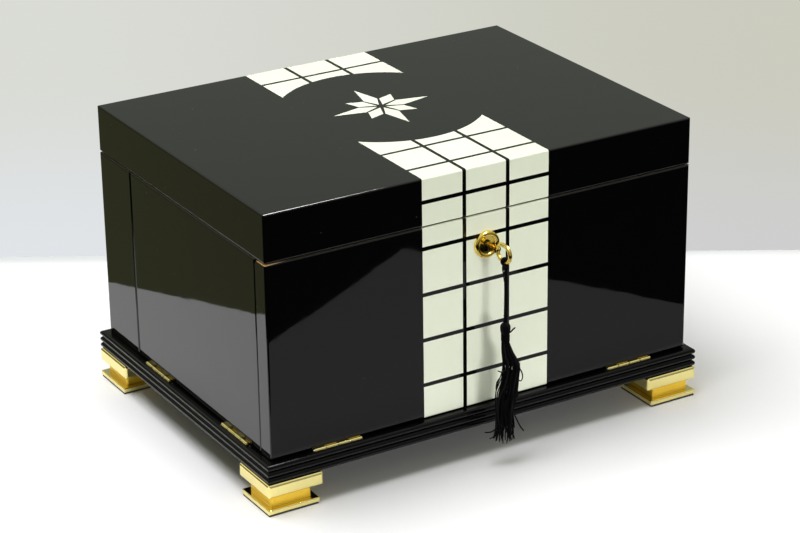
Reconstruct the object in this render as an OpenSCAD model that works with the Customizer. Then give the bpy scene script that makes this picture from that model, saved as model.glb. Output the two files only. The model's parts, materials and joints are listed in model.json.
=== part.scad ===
// Cigar humidor: lacquered case on a reeded plinth, with a lift-up lid, three drop-down flaps,
// a cedar inner rack, a lock with a tasselled key, and a hygrometer in the lid.
// Millimetres. Origin on the table under the middle of the case, front towards -Y, +Z up.

/* [Case] */
// Width across the front
body_w = 400; // [360:1:460]
// Depth from front to back
body_d = 295; // [280:1:340]
// Height from the plinth's ledge to the seam under the lid
body_h = 167.5; // [150:0.5:200]
// Thickness of the lacquered boards
board_t = 16; // [15:0.5:18]
// Length of the fixed section of each side, behind its flap
rear_return = 58; // [45:1:80]
// Gap along the seams of the lid and the flaps
seam = 1; // [0.9:0.05:1.4]
// Smallest bevel inside a flap's top edge
least_bevel = 1; // [0.5:0.25:2]
// Rounding of the outer edges of the flaps and the back
edge_r = 1.5; // [1:0.25:2.5]

/* [Lid] */
// Height of the lid
lid_h = 40.5; // [38:0.5:60]
// Thickness of the lid's top
lid_top_t = 12; // [10:0.5:14]
// Rounding of the lid's edges
lid_edge_r = 1.5; // [1:0.25:4]

/* [Plinth] */
// Height of the plinth
plinth_h = 16.5; // [13:0.5:20]
// Overhang of the plinth beyond the case
plinth_overhang = 7; // [6:0.5:12]
// Width of the plinth's rails
rail_w = 40; // [34:1:48]
// Number of half-round reeds on the plinth's edge
reeds = 3; // [2:1:4]
// Flat left between two reeds
reed_flat = 0.3; // [0.2:0.05:0.5]
// Thickness of the board between the rails
base_t = 10; // [6:0.5:12]

/* [Feet] */
// Side of the foot's square top flange
foot_w = 50; // [42:1:56]
// Height of the top flange
flange_h = 12; // [8:0.5:14]
// Rounding of the flange's edges
flange_r = 2.5; // [1:0.25:4]
// Side of the foot's neck
neck_w = 36; // [28:0.5:38]
// Height of the neck
neck_h = 10; // [9:0.5:12]
// Rounding of the neck's corners
neck_r = 2; // [1:0.25:4]
// Side of the foot's bottom plate, which is flush with the flange at the outer corner
plate_w = 46; // [40:0.5:50]
// Height of the bottom plate
plate_h = 4; // [3:0.5:6]
// Rounding of the bottom plate's edges
plate_r = 0.8; // [0.5:0.1:1.4]
// Thickness of the felt pad
pad_t = 1.5; // [1:0.25:3]
// Margin of the plate round the felt pad
pad_margin = 0.5; // [0.25:0.25:4]
// Overhang of the foot beyond the plinth's corner
foot_overhang = 0.5; // [0:0.25:5]

/* [Inlay] */
// Width of a tile
tile_w = 37.25; // [30:0.25:44]
// Distance from one row of tiles to the next, on the front
front_pitch = 39.5; // [34:0.25:46]
// Distance from one row of tiles to the next, on the lid's top
top_pitch = 40.25; // [34:0.25:46]
// Width of the dark line between tiles
line_w = 3.5; // [1:0.25:4]
// Distance of the first line below the lid's front edge
front_line = 20; // [14:0.5:26]
// Distance of the first line behind the lid's front edge
top_line = 22; // [14:0.5:26]
// Thickness of the inlay
tile_t = 0.8; // [0.5:0.1:1.2]
// Radius of the dark disc that interrupts the band
disc_r = 87; // [70:1:95]
// Distance of the disc behind the lid's middle
disc_back = 15.5; // [0:0.5:25]
// Number of points of the star
star_count = 8; // [6:2:10]
// Reach of the star's long points
star_long = 46; // [36:1:56]
// Reach of the star's short points
star_short = 31; // [24:1:36]
// Half the width of a star point
star_half = 6.5; // [4:0.25:8]
// Distance of a star point's foot from the centre
star_foot = 4; // [2:0.25:8]
// Distance of a star point's widest place from the centre
star_waist = 18; // [14:0.5:20]

/* [Hinges] */
// Length of a hinge
hinge_len = 44; // [36:1:52]
// Knuckles in a hinge
knuckles = 4; // [4:2:6]
// Gap between two knuckles
knuckle_gap = 1; // [0.3:0.1:1.5]
// Outer radius of a knuckle
knuckle_r = 1.6; // [1.5:0.05:2.4]
// Radius of the hinge pin
pin_r = 0.8; // [0.6:0.05:0.9]
// Width of a leaf inside the board
leaf_w = 12; // [8:0.5:13]
// Thickness of a leaf
leaf_t = 1; // [0.8:0.05:1.1]
// Distance of each front hinge from the middle
front_hinge_x = 141; // [110:1:150]
// Distance of each side hinge from its flap's middle
side_hinge_y = 69; // [50:1:78]
// Distance of each lid hinge from the middle
lid_hinge_x = 120; // [90:1:150]

/* [Lock] */
// Distance of the escutcheon's centre below the seam
escutcheon_drop = 27; // [26:0.5:34]
// Diameter of the escutcheon
escutcheon_d = 23; // [21:0.5:26]
// Height of the escutcheon's rim
escutcheon_h = 3.4; // [3:0.1:4.5]
// Thickness of the escutcheon's rim
rim_ring = 4.2; // [2.8:0.1:4.6]
// Thickness of the escutcheon's dish at its middle
dish_t = 1; // [0.8:0.1:1.4]
// Rise of the dish from its middle to the rim
dish_rise = 1.2; // [0.6:0.1:1.6]
// Radius of the keyhole
keyhole_r = 3.3; // [2.8:0.1:3.8]
// Width of the keyhole's slot
keyhole_w = 4.5; // [4:0.1:5]
// Depth of the keyhole's slot below the shank's axis
keyhole_drop = 8; // [7.5:0.25:9]
// Distance of the key's shank above the escutcheon's centre
key_rise = 1; // [0:0.25:4]
// Radius of the key's shank
shank_r = 2; // [1.6:0.1:2.4]
// Length of the collar between the shank and the bow
collar_len = 6; // [4:0.5:8]
// Radius of the collar at the bow
collar_r = 3.2; // [2.6:0.1:3.6]
// Distance of the bow's centre in front of the flap
bow_out = 26; // [25:0.5:34]
// Radius of the bow's round ends, at the middle of its wire
bow_r = 6.6; // [6:0.1:9]
// Length of the bow's straight sides
bow_straight = 5; // [2:0.25:8]
// Radius of the bow's wire
bow_wire = 1.7; // [1.4:0.1:2]
// Depth of the key's bit below the shank's axis
bit_drop = 6; // [5:0.25:7]
// Thickness of the key's bit
bit_t = 2.4; // [1.8:0.1:3]
// Length of the key's bit along the shank
bit_len = 3; // [2:0.25:3.5]
// Thickness of the hook
hook_t = 3; // [2:0.1:3.4]
// Width of the hook's curved finger
hook_w = 4; // [3:0.25:5]
// Angle that the hook's finger covers
hook_span = 80; // [70:1:84]
// Angle that the hook's arm covers
arm_angle = 20; // [14:1:30]
// Thickness of the hub round the slot for the bit
hub_wall = 1.5; // [1:0.25:2.5]
// Thickness of the lacquered wood left in front of the lock
lock_cover = 5.5; // [4.5:0.25:6]
// Thickness of the lock case's walls in front of the hook, behind it and below it
lock_wall = 0.8; // [0.6:0.1:1.2]
// Thickness of the lock case's side walls
lock_side = 2; // [1:0.25:4]
// Thickness of the lock's face plate and of the strike plate
strike_t = 1.5; // [1:0.1:2]
// Width of the face plate and of the strike plate
strike_w = 8; // [7:0.25:9]
// Length of both plates beyond their slots
strike_end = 2; // [1:0.25:4]
// Half the width of the bar between the slots
strike_bar = 4; // [3:0.25:5]

/* [Tassel] */
// Length of the cord from the bow to the tassel's head
cord_len = 50; // [45:1:60]
// Diameter of the doubled cord
cord_d = 3.4; // [2.6:0.1:3.8]
// Radius of the tassel's head
head_r = 4.6; // [3.8:0.1:5.4]
// Height of the tassel's head
head_h = 10; // [8:0.5:13]
// Radius of the wrapped neck
wrap_r = 3.6; // [3:0.1:4]
// Height of the wrapped neck
wrap_h = 7; // [6:0.5:10]
// Length of the skirt
skirt_len = 89; // [70:1:90]
// Radius of the skirt at its widest
skirt_r = 8.4; // [7:0.1:9]
// Distance of the skirt's widest place below its top
skirt_swell = 24; // [16:1:34]
// Radius of the skirt at its foot
skirt_foot_r = 7.6; // [6:0.1:9]

/* [Cedar rack] */
// Thickness of the cedar linings
lining_t = 3; // [2:0.25:4]
// Distance of a flap's lining from the flap's edges
lining_inset = 8; // [7:0.5:14]
// Gap between the rack and the linings that close on it
rack_gap = 1; // [0.8:0.1:1.5]
// Thickness of the floor
floor_t = 6; // [5:0.5:10]
// Side of a corner post
post_w = 14; // [10:0.5:18]
// Height of the deck's underside above the ledge
deck_h = 106; // [96:1:112]
// Thickness of the deck and the shelf
deck_t = 5; // [4:0.5:8]
// Thickness of the upright between the lower bays
upright_t = 8; // [6:0.5:12]
// Distance of the upright behind the rack's front
upright_set = 4; // [1:0.5:20]
// Thickness of the rim's boards
rim_t = 10; // [8:0.5:14]
// Height of the rim's lip above the seam
lip_h = 6; // [4:0.5:10]
// Thickness of a divider in the top compartment
divider_t = 5; // [3:0.5:8]
// Distance of a divider's top below the rim
divider_drop = 12; // [6:0.5:20]

/* [Catches] */
// Radius of a catch magnet
magnet_r = 4; // [3:0.25:5]
// Thickness of a catch magnet
magnet_t = 3; // [2:0.25:5]
// Radius of a catch plate
catch_r = 5; // [4:0.25:6]
// Thickness of a catch plate
catch_t = 1.2; // [0.8:0.1:1.6]
// Distance of the catches below a flap's top
catch_drop = 24; // [20:0.5:30]
// Distance of a catch from its flap's middle, as a share of the flap's width
catch_share = 0.32; // [0.2:0.01:0.36]

/* [Lid fittings] */
// Radius of the hygrometer's bezel
bezel_r = 27; // [24:0.5:32]
// Width of the bezel's ring
bezel_w = 4; // [3:0.25:6]
// Depth of the bezel
bezel_h = 8; // [7:0.25:10]
// Distance of the glass inside the bezel's rim
glass_set = 1; // [0.5:0.25:1.5]
// Distance of the hygrometer from the lid's middle, to the left
hygrometer_x = 95; // [60:1:115]
// Thickness of the dial and of the glass
dial_t = 1.2; // [1:0.1:1.6]
// Radius of the needle's pivot
pivot_r = 0.8; // [0.6:0.05:1]
// Length of the needle from its pivot
needle_len = 17; // [14:0.5:18]
// Thickness of the needle
needle_t = 0.8; // [0.6:0.05:1]
// Width of the needle
needle_w = 1.6; // [1.2:0.1:2]
// Radius of the needle's hub
needle_hub_r = 2.2; // [1.8:0.1:2.6]
// Width of the humidifier
humidifier_w = 130; // [100:1:150]
// Depth of the humidifier
humidifier_d = 60; // [50:1:80]
// Height of the humidifier's case
humidifier_h = 9; // [7:0.5:11]
// Rounding of the humidifier's edges
humidifier_r = 1; // [0.5:0.25:2]
// Thickness of the humidifier's grille
grille_t = 1.5; // [1:0.1:2]
// Slots in the grille
grille_slots = 9; // [5:1:13]
// Margin of the humidifier's case round the grille
grille_inset = 2; // [1.5:0.25:4]
// Border of the grille at the ends of its row of slots
grille_end = 6; // [4:0.5:10]
// Border of the grille above and below its slots
grille_side = 12; // [8:0.5:16]
// Distance of the humidifier from the lid's middle, to the right
humidifier_x = 60; // [50:1:80]

/* [Clearances] */
// Running clearance of a pin in its bore
pin_fit = 0.05; // [0.02:0.01:0.1]
// Clearance round a knuckle
knuckle_clear = 0.3; // [0.25:0.05:0.5]
// Clearance under the lid as a flap's top swings past
swing_clear = 0.35; // [0.3:0.05:0.5]
// Clearance round the lock's moving pieces
lock_clear = 0.3; // [0.25:0.05:0.5]
// Gap between the bow and the cord
cord_clear = 0.3; // [0.2:0.05:0.5]

/* [Hidden] */
$fn = 64;
cut_over = 1;
knuckle_pitch = hinge_len / knuckles;

// Heights
plate_z = pad_t;
neck_z = plate_z + plate_h;
flange_z = neck_z + neck_h;
plinth_z = flange_z + flange_h;
ledge_z = plinth_z + plinth_h;
flap_bottom = ledge_z + seam;
flap_top = ledge_z + body_h - seam / 2;
flap_h = flap_top - flap_bottom;
lid_bottom = ledge_z + body_h + seam / 2;
lid_top = lid_bottom + lid_h;
lid_ceiling = lid_top - lid_top_t;

// Plan
front_y = -body_d / 2;
rear_y = body_d / 2;
side_x = body_w / 2;
inner_x = side_x - board_t;
inner_front = front_y + board_t;
inner_rear = rear_y - board_t;
plinth_x = side_x + plinth_overhang;
plinth_y = rear_y + plinth_overhang;
foot_edge_x = plinth_x + foot_overhang;
foot_edge_y = plinth_y + foot_overhang;
side_flap_front = inner_front + seam;
side_flap_rear = rear_y - rear_return - seam;
side_flap_w = side_flap_rear - side_flap_front;
side_flap_y = (side_flap_front + side_flap_rear) / 2;
front_lined_w = 2 * inner_x;

// Hinge axes lie midway in the seam, just outside the boards
axis_out = knuckle_r + knuckle_clear;
flap_arm = flap_h + seam / 2;
flap_reach = sqrt(pow(flap_arm + seam - swing_clear, 2) - pow(flap_arm, 2));
flap_bevel = max(least_bevel, axis_out + board_t - flap_reach);

// Rack
rack_x = inner_x - lining_t - rack_gap;
rack_front = inner_front + lining_t + rack_gap;
rack_rear = inner_rear - lining_t;
rim_rear = rack_rear - rack_gap;
rack_d = rack_rear - rack_front;
floor_z = ledge_z + floor_t;
deck_z = ledge_z + deck_h;
shelf_z = floor_z + (deck_z - floor_z - deck_t) / 2;
rim_z = deck_z + deck_t;
rim_top = ledge_z + body_h + lip_h;
cell_w = (2 * (rack_x - rim_t) - 2 * divider_t) / 3;
catch_z = flap_top - catch_drop;

// Lock
escutcheon_z = ledge_z + body_h - escutcheon_drop;
key_z = escutcheon_z + key_rise;
bore_r = shank_r + lock_clear;
slot_half = bit_t / 2 + lock_clear;
slot_drop = bit_drop + lock_clear;
lock_y = front_y + lock_cover;
hook_y = lock_y + lock_wall + lock_clear;
hook_cell_y = hook_y - lock_clear;
hook_cell_t = hook_t + 2 * lock_clear;
bit_y = hook_cell_y + hook_cell_t + lock_wall;
hook_in = lid_bottom + strike_t + 2 * lock_clear - key_z;
hook_out = hook_in + hook_w;
hook_tip = asin((flap_top - strike_t - 2 * lock_clear - key_z) / hook_out);
hook_tail = hook_tip - hook_span;
hub_r = slot_drop + hub_wall;
hook_cell_r = hook_out + 2 * lock_clear;
hook_cell_z = key_z - max(hook_out * sin(max(-hook_tail, 0)), hub_r) - 2 * lock_clear;
lock_floor_z = floor(hook_cell_z - lock_wall);
lock_half = hook_cell_r + lock_side;
strike_half = hook_out + strike_end;
strike_y = hook_y + hook_t / 2 - strike_w / 2;
bow_y = front_y - bow_out;
bow_bottom_z = key_z - bow_r;

// Tassel, hung from the outer end of the bow's lower side.
// The cord's points are a drift to the right and a share of its length below its top.
tassel_y = bow_y - bow_straight / 2;
cord_top_z = bow_bottom_z - bow_wire - cord_clear;
cord_drift = [[0, 0], [0.3, 0.2], [0.5, 0.5], [0.3, 0.8], [0, 1]];
head_top_z = cord_top_z - cord_len;
wrap_top_z = head_top_z - head_h;
skirt_top_z = wrap_top_z - wrap_h;
cord_sides = 8;

// Lid fittings
lid_lining_z = lid_ceiling - lining_t;
dial_z = lid_lining_z - dial_t;
glass_z = lid_lining_z - bezel_h + glass_set;
needle_z = dial_z - needle_t - lock_clear;
pivot_len = needle_t + 2 * lock_clear;

black = [0.03, 0.03, 0.035];
ivory = [0.93, 0.94, 0.9];
gold = [0.93, 0.76, 0.3];
cedar = [0.72, 0.45, 0.3];
steel = [0.7, 0.72, 0.74];
felt = [0.08, 0.08, 0.08];

// Shared shapes

// Rectangle with round corners, centred on x and standing on y = 0
module rounded_rect(w, h, r) {
  translate([-w / 2 + r, 0]) square([w - 2 * r, h]);
  translate([-w / 2, r]) square([w, h - 2 * r]);
  for (x = [-w / 2 + r, w / 2 - r]) for (y = [r, h - r]) translate([x, y]) circle(r);
}

// The same, rounded only at its two corners on y = 0
module front_rounded_rect(w, t, r) {
  translate([-w / 2 + r, 0]) square([w - 2 * r, t]);
  translate([-w / 2, r]) square([w, t - r]);
  for (x = [-w / 2 + r, w / 2 - r]) translate([x, r]) circle(r);
}

// Extrudes a profile of (depth, height) along x, centred
module along_x(len) rotate([90, 0, 90]) linear_extrude(len, center = true) children();

// Extrudes a profile of (width, height) along y, centred
module along_y(len) rotate([90, 0, 0]) linear_extrude(len, center = true) children();

// Block standing on z = 0 whose edges are all rounded
module bullnose_block(w, d, h, r) {
  intersection() {
    along_y(d) rounded_rect(w, h, r);
    along_x(w) rounded_rect(d, h, r);
    translate([0, -d / 2, 0]) linear_extrude(h) rounded_rect(w, d, r);
  }
}

// Disc on a vertical face: axis along -y, from y = 0 inwards
module face_disc(r, t) rotate([-90, 0, 0]) cylinder(r = r, h = t);

// Places of the three flaps and of the lid's hinge line.
// In each, +y points into the case and the outer face of the board is y = 0.
module at_front() translate([0, front_y, flap_bottom]) children();
module at_left() translate([-side_x, side_flap_y, flap_bottom]) rotate([0, 0, -90]) children();
module at_right() translate([side_x, side_flap_y, flap_bottom]) rotate([0, 0, 90]) children();
module at_lid_hinges() translate([0, rear_y, lid_bottom]) rotate([0, 0, 180]) children();
module on_hinge_axes(spread) {
  for (s = [-1, 1]) translate([s * spread, -axis_out, -seam / 2]) children();
}

// Lacquered flap board with rounded outer edges, and a bevel inside its top edge
module flap_profile(h, inset) {
  r = edge_r - inset;
  difference() {
    translate([0, h / 2]) rotate(-90) front_rounded_rect_inset(h, r, inset);
    polygon([[board_t - flap_bevel, h], [board_t - flap_bevel - cut_over, h + cut_over],
      [board_t + cut_over, h + cut_over], [board_t + cut_over, h - flap_bevel - cut_over],
      [board_t, h - flap_bevel]]);
  }
}
module front_rounded_rect_inset(h, r, inset) {
  translate([0, inset]) front_rounded_rect(h - 2 * inset, board_t - inset, r);
}
module flap_board(w, inset = 0) {
  intersection() {
    along_x(w) flap_profile(flap_h, inset);
    linear_extrude(flap_h) front_rounded_rect(w, board_t, edge_r);
  }
}

// Cedar lining on the inside of a flap, with the catch plates let into it
module flap_lining(w) {
  difference() {
    translate([-w / 2 + lining_inset, board_t, lining_inset])
      cube([w - 2 * lining_inset, lining_t, flap_h - flap_bevel - 2 * lining_inset]);
    flap_catches(w);
  }
}
module flap_catches(w) {
  for (s = [-1, 1])
    translate([s * w * catch_share, board_t + lining_t - catch_t, flap_h - catch_drop])
      face_disc(catch_r, catch_t);
}

// Butt hinge, with its axis along x at the origin and its leaves towards +y.
// The upper leaf holds the even knuckles, the lower leaf is the same piece turned over.
module hinge_leaf() {
  difference() {
    union() {
      translate([-hinge_len / 2, axis_out, seam / 2]) cube([hinge_len, leaf_w, leaf_t]);
      for (i = [0 : 2 : knuckles - 1])
        translate([-hinge_len / 2 + i * knuckle_pitch + knuckle_gap / 2, 0, 0]) {
          rotate([0, 90, 0]) cylinder(r = knuckle_r, h = knuckle_pitch - knuckle_gap);
          translate([0, 0, seam / 2]) cube([knuckle_pitch - knuckle_gap, axis_out, leaf_t]);
        }
    }
    hinge_bore();
  }
}
module hinge_bore() {
  rotate([0, 90, 0]) cylinder(r = pin_r + pin_fit, h = hinge_len + 2 * cut_over, center = true);
}
module hinge_lower_leaf() rotate([0, 180, 0]) hinge_leaf();
module hinge_pin() rotate([0, 90, 0]) cylinder(r = pin_r, h = hinge_len, center = true);
module leaf_mortise() {
  translate([-hinge_len / 2, 0, seam / 2 - cut_over])
    cube([hinge_len, axis_out + leaf_w, leaf_t + cut_over]);
}
module lower_leaf_mortise() mirror([0, 0, 1]) leaf_mortise();
module knuckle_groove() {
  rotate([0, 90, 0])
    cylinder(r = knuckle_r + knuckle_clear, h = hinge_len + 2 * knuckle_clear, center = true);
}

// Plinth and feet

module rail_profile() {
  pitch = plinth_h / reeds;
  reed_r = (pitch - reed_flat) / 2;
  translate([reed_r, 0]) square([rail_w - reed_r, plinth_h]);
  for (i = [0 : reeds - 1]) translate([reed_r, pitch * (i + 0.5)]) circle(reed_r);
}
module plinth_rail(len) {
  intersection() {
    along_x(len) rail_profile();
    linear_extrude(plinth_h)
      polygon([[-len / 2, 0], [len / 2, 0], [len / 2 - rail_w, rail_w], [-len / 2 + rail_w, rail_w]]);
  }
}
module hinge_seats_in_plinth() {
  at_front() on_hinge_axes(front_hinge_x) hinge_seat();
  at_left() on_hinge_axes(side_hinge_y) hinge_seat();
  at_right() on_hinge_axes(side_hinge_y) hinge_seat();
}
module hinge_seat() {
  lower_leaf_mortise();
  knuckle_groove();
}
module plinth_front() color(black) difference() {
  translate([0, -plinth_y, plinth_z]) plinth_rail(2 * plinth_x);
  hinge_seats_in_plinth();
}
module plinth_rear() color(black)
  translate([0, plinth_y, plinth_z]) rotate([0, 0, 180]) plinth_rail(2 * plinth_x);
module plinth_left() color(black) difference() {
  translate([-plinth_x, 0, plinth_z]) rotate([0, 0, -90]) plinth_rail(2 * plinth_y);
  hinge_seats_in_plinth();
}
module plinth_right() color(black) difference() {
  translate([plinth_x, 0, plinth_z]) rotate([0, 0, 90]) plinth_rail(2 * plinth_y);
  hinge_seats_in_plinth();
}
module base_board() color(black)
  translate([-plinth_x + rail_w, -plinth_y + rail_w, ledge_z - base_t])
    cube([2 * (plinth_x - rail_w), 2 * (plinth_y - rail_w), base_t]);

// Spool foot, cast in one piece: the neck stands in the middle of the plate, and the flange is
// flush with the plate at the outer corner and reaches further in under the plinth
module at_foot(sx, sy, w, z) {
  translate([sx * (foot_edge_x - w / 2), sy * (foot_edge_y - w / 2), z]) children();
}
module foot(sx, sy) color(gold) {
  at_foot(sx, sy, foot_w, flange_z) bullnose_block(foot_w, foot_w, flange_h, flange_r);
  at_foot(sx, sy, plate_w, neck_z)
    translate([0, -neck_w / 2, 0]) linear_extrude(neck_h) rounded_rect(neck_w, neck_w, neck_r);
  at_foot(sx, sy, plate_w, plate_z) bullnose_block(plate_w, plate_w, plate_h, plate_r);
}
module foot_front_left() foot(-1, -1);
module foot_front_right() foot(1, -1);
module foot_rear_left() foot(-1, 1);
module foot_rear_right() foot(1, 1);
module foot_pads() color(felt) {
  pad_w = plate_w - 2 * pad_margin;
  for (sx = [-1, 1]) for (sy = [-1, 1])
    at_foot(sx, sy, plate_w, 0)
      translate([0, -pad_w / 2, 0]) linear_extrude(pad_t) rounded_rect(pad_w, pad_w, plate_r);
}

// Fixed back of the case: a panel mitred to two short side stiles

module back_outline() {
  translate([0, rear_y]) rotate(180) rounded_rect(body_w, rear_return, edge_r);
}
module back_block() {
  intersection() {
    translate([0, 0, ledge_z]) linear_extrude(flap_top - ledge_z) back_outline();
    translate([0, 0, ledge_z]) along_y(2 * body_d) rounded_rect(body_w, flap_top - ledge_z, edge_r);
    translate([0, rear_y, ledge_z]) rotate([0, 0, 180])
      along_x(body_w) translate([rear_return, 0])
        rounded_rect(2 * rear_return, flap_top - ledge_z, edge_r);
  }
}
module back_panel() color(black) difference() {
  intersection() {
    back_block();
    translate([0, 0, ledge_z]) linear_extrude(body_h)
      polygon([[-side_x, rear_y], [side_x, rear_y], [inner_x, inner_rear], [-inner_x, inner_rear]]);
  }
  at_lid_hinges() on_hinge_axes(lid_hinge_x) lower_leaf_mortise();
}
module stile() {
  intersection() {
    back_block();
    translate([0, 0, ledge_z]) linear_extrude(body_h)
      polygon([[side_x, rear_y], [side_x, rear_y - rear_return], [inner_x, rear_y - rear_return],
        [inner_x, inner_rear]]);
  }
}
module right_stile() color(black) stile();
module left_stile() color(black) mirror([1, 0, 0]) stile();

// Cedar rack

module rack_board(z, t) {
  translate([-rack_x, rack_front, z]) cube([2 * rack_x, rack_d, t]);
}
module at_posts() {
  for (x = [-rack_x, rack_x - post_w]) for (y = [rack_front, rack_rear - post_w])
    translate([x, y, 0]) children();
}
module cedar_floor() color(cedar) rack_board(ledge_z, floor_t);
module cedar_deck() color(cedar) rack_board(deck_z, deck_t);
module cedar_posts() color(cedar)
  at_posts() translate([0, 0, floor_z]) cube([post_w, post_w, deck_z - floor_z]);
module cedar_shelf() color(cedar) translate([0, 0, shelf_z]) linear_extrude(deck_t) {
  translate([-rack_x + post_w, rack_front]) square([2 * (rack_x - post_w), rack_d]);
  translate([-rack_x, rack_front + post_w]) square([2 * rack_x, rack_d - 2 * post_w]);
}
module cedar_uprights() color(cedar)
  for (z = [floor_z, shelf_z + deck_t])
    translate([-upright_t / 2, rack_front + upright_set, z])
      cube([upright_t, rack_d - upright_set, shelf_z - floor_z]);
module cedar_rim_front_rear() color(cedar) difference() {
  for (y = [rack_front, rim_rear - rim_t])
    translate([-rack_x, y, rim_z]) cube([2 * rack_x, rim_t, rim_top - rim_z]);
  magnets();
}
module cedar_rim_sides() color(cedar) difference() {
  for (x = [-rack_x, rack_x - rim_t])
    translate([x, rack_front + rim_t, rim_z])
      cube([rim_t, rim_rear - rack_front - 2 * rim_t, rim_top - rim_z]);
  magnets();
}
module cedar_dividers() color(cedar)
  for (s = [-1, 1])
    translate([s * (cell_w + divider_t) / 2 - divider_t / 2, rack_front + rim_t, rim_z])
      cube([divider_t, rim_rear - rack_front - 2 * rim_t, rim_top - divider_drop - rim_z]);
module cedar_back() color(cedar)
  translate([-inner_x, rack_rear, ledge_z]) cube([2 * inner_x, lining_t, flap_top - ledge_z]);

// Magnets in the rim that hold the flaps shut
module rim_magnets(w) {
  for (s = [-1, 1])
    translate([s * w * catch_share, board_t + lining_t + rack_gap, flap_h - catch_drop])
      face_disc(magnet_r, magnet_t);
}
module magnets() {
  at_front() rim_magnets(front_lined_w);
  at_left() rim_magnets(side_flap_w);
  at_right() rim_magnets(side_flap_w);
}
module case_magnets() color(steel) magnets();

// Hinges: the leaves that stay on the case, and all the pins

module flap_hinge_base_leaves() color(gold) {
  at_front() on_hinge_axes(front_hinge_x) hinge_lower_leaf();
  at_left() on_hinge_axes(side_hinge_y) hinge_lower_leaf();
  at_right() on_hinge_axes(side_hinge_y) hinge_lower_leaf();
}
module lid_hinge_base_leaves() color(gold)
  at_lid_hinges() on_hinge_axes(lid_hinge_x) hinge_lower_leaf();
module hinge_pins() color(steel) {
  at_front() on_hinge_axes(front_hinge_x) hinge_pin();
  at_left() on_hinge_axes(side_hinge_y) hinge_pin();
  at_right() on_hinge_axes(side_hinge_y) hinge_pin();
  at_lid_hinges() on_hinge_axes(lid_hinge_x) hinge_pin();
}

// Band of tiles: prisms that cut the tiles out of a thin skin of the lid and the front flap

module tile_columns(y, d, z, h) {
  for (c = [-1 : 1]) translate([c * (tile_w + line_w) - tile_w / 2, y, z]) cube([tile_w, d, h]);
}
module front_tile_prisms() {
  rows = ceil((lid_top - flap_bottom - front_line) / front_pitch);
  for (k = [1 : rows])
    tile_columns(front_y - cut_over, max(lid_edge_r, edge_r) + cut_over,
      lid_top - front_line - k * front_pitch + line_w / 2, front_pitch - line_w);
}
module corner_tile_prisms() {
  tile_columns(front_y - cut_over, top_line - line_w / 2 + cut_over,
    lid_top - front_line + line_w / 2, front_line - line_w / 2 + cut_over);
}
module top_tile_prisms() {
  rows = ceil((body_d - top_line) / top_pitch);
  for (k = [1 : rows])
    tile_columns(front_y + top_line + (k - 1) * top_pitch + line_w / 2, top_pitch - line_w,
      lid_top - lid_edge_r, lid_edge_r + cut_over);
}
module disc_prism() {
  translate([0, disc_back, lid_top - lid_edge_r - cut_over])
    cylinder(r = disc_r, h = lid_edge_r + 3 * cut_over);
}

// Front flap

module front_tile_cuts() {
  difference() {
    front_tile_prisms();
    at_front() flap_board(body_w, tile_t);
  }
}
module keyhole(y, d, r, half, drop) {
  translate([0, y, key_z]) face_disc(r, d);
  translate([-half, y, key_z - drop]) cube([2 * half, d, drop]);
}
module open_keyhole(y, d) keyhole(y, d, keyhole_r, keyhole_w / 2, keyhole_drop);
module lock_mortise() {
  translate([-lock_half, lock_y, lock_floor_z])
    cube([2 * lock_half, board_t - lock_cover + cut_over, flap_top - strike_t - lock_floor_z]);
  faceplate_block(cut_over);
  translate([-strike_half, hook_cell_y, flap_top - strike_t - cut_over])
    cube([2 * strike_half, hook_cell_t, 2 * cut_over]);
}
module faceplate_block(over) {
  translate([-strike_half, strike_y, flap_top - strike_t])
    cube([2 * strike_half, strike_w, strike_t + over]);
}
module front_panel() color(black) difference() {
  at_front() flap_board(body_w);
  front_tile_cuts();
  at_front() on_hinge_axes(front_hinge_x) leaf_mortise();
  lock_mortise();
  open_keyhole(front_y - cut_over, board_t - cut_over);
}
module front_inlay() color(ivory) difference() {
  intersection() {
    at_front() flap_board(body_w);
    front_tile_cuts();
  }
  open_keyhole(front_y - cut_over, board_t - cut_over);
}
module front_lining() color(cedar) at_front() flap_lining(front_lined_w);
module front_catches() color(steel) at_front() flap_catches(front_lined_w);
module front_hinge_leaves() color(gold) at_front() on_hinge_axes(front_hinge_x) hinge_leaf();

// Side flaps

module side_panel() {
  difference() {
    flap_board(side_flap_w);
    on_hinge_axes(side_hinge_y) leaf_mortise();
  }
}
module left_panel() color(black) at_left() side_panel();
module right_panel() color(black) at_right() side_panel();
module left_lining() color(cedar) at_left() flap_lining(side_flap_w);
module right_lining() color(cedar) at_right() flap_lining(side_flap_w);
module left_catches() color(steel) at_left() flap_catches(side_flap_w);
module right_catches() color(steel) at_right() flap_catches(side_flap_w);
module left_hinge_leaves() color(gold) at_left() on_hinge_axes(side_hinge_y) hinge_leaf();
module right_hinge_leaves() color(gold) at_right() on_hinge_axes(side_hinge_y) hinge_leaf();

// Lock and key

// Dished rosette with a rolled rim, turned about the escutcheon's centre
module escutcheon() color(gold) difference() {
  translate([0, front_y, escutcheon_z]) rotate([90, 0, 0]) rotate_extrude() {
    rim_r = rim_ring / 2;
    rim_at = escutcheon_d / 2 - rim_r;
    dish_r = (pow(rim_at, 2) + pow(dish_rise, 2)) / (2 * dish_rise);
    difference() {
      square([rim_at, dish_t + dish_rise]);
      translate([0, dish_t + dish_r]) circle(dish_r);
    }
    intersection() {
      translate([rim_at, escutcheon_h - rim_r]) circle(rim_r);
      square([escutcheon_d / 2, escutcheon_h]);
    }
    translate([rim_at - rim_r, 0]) square([rim_ring, escutcheon_h - rim_r]);
  }
  open_keyhole(front_y - 2 * escutcheon_h, 3 * escutcheon_h);
}

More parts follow.
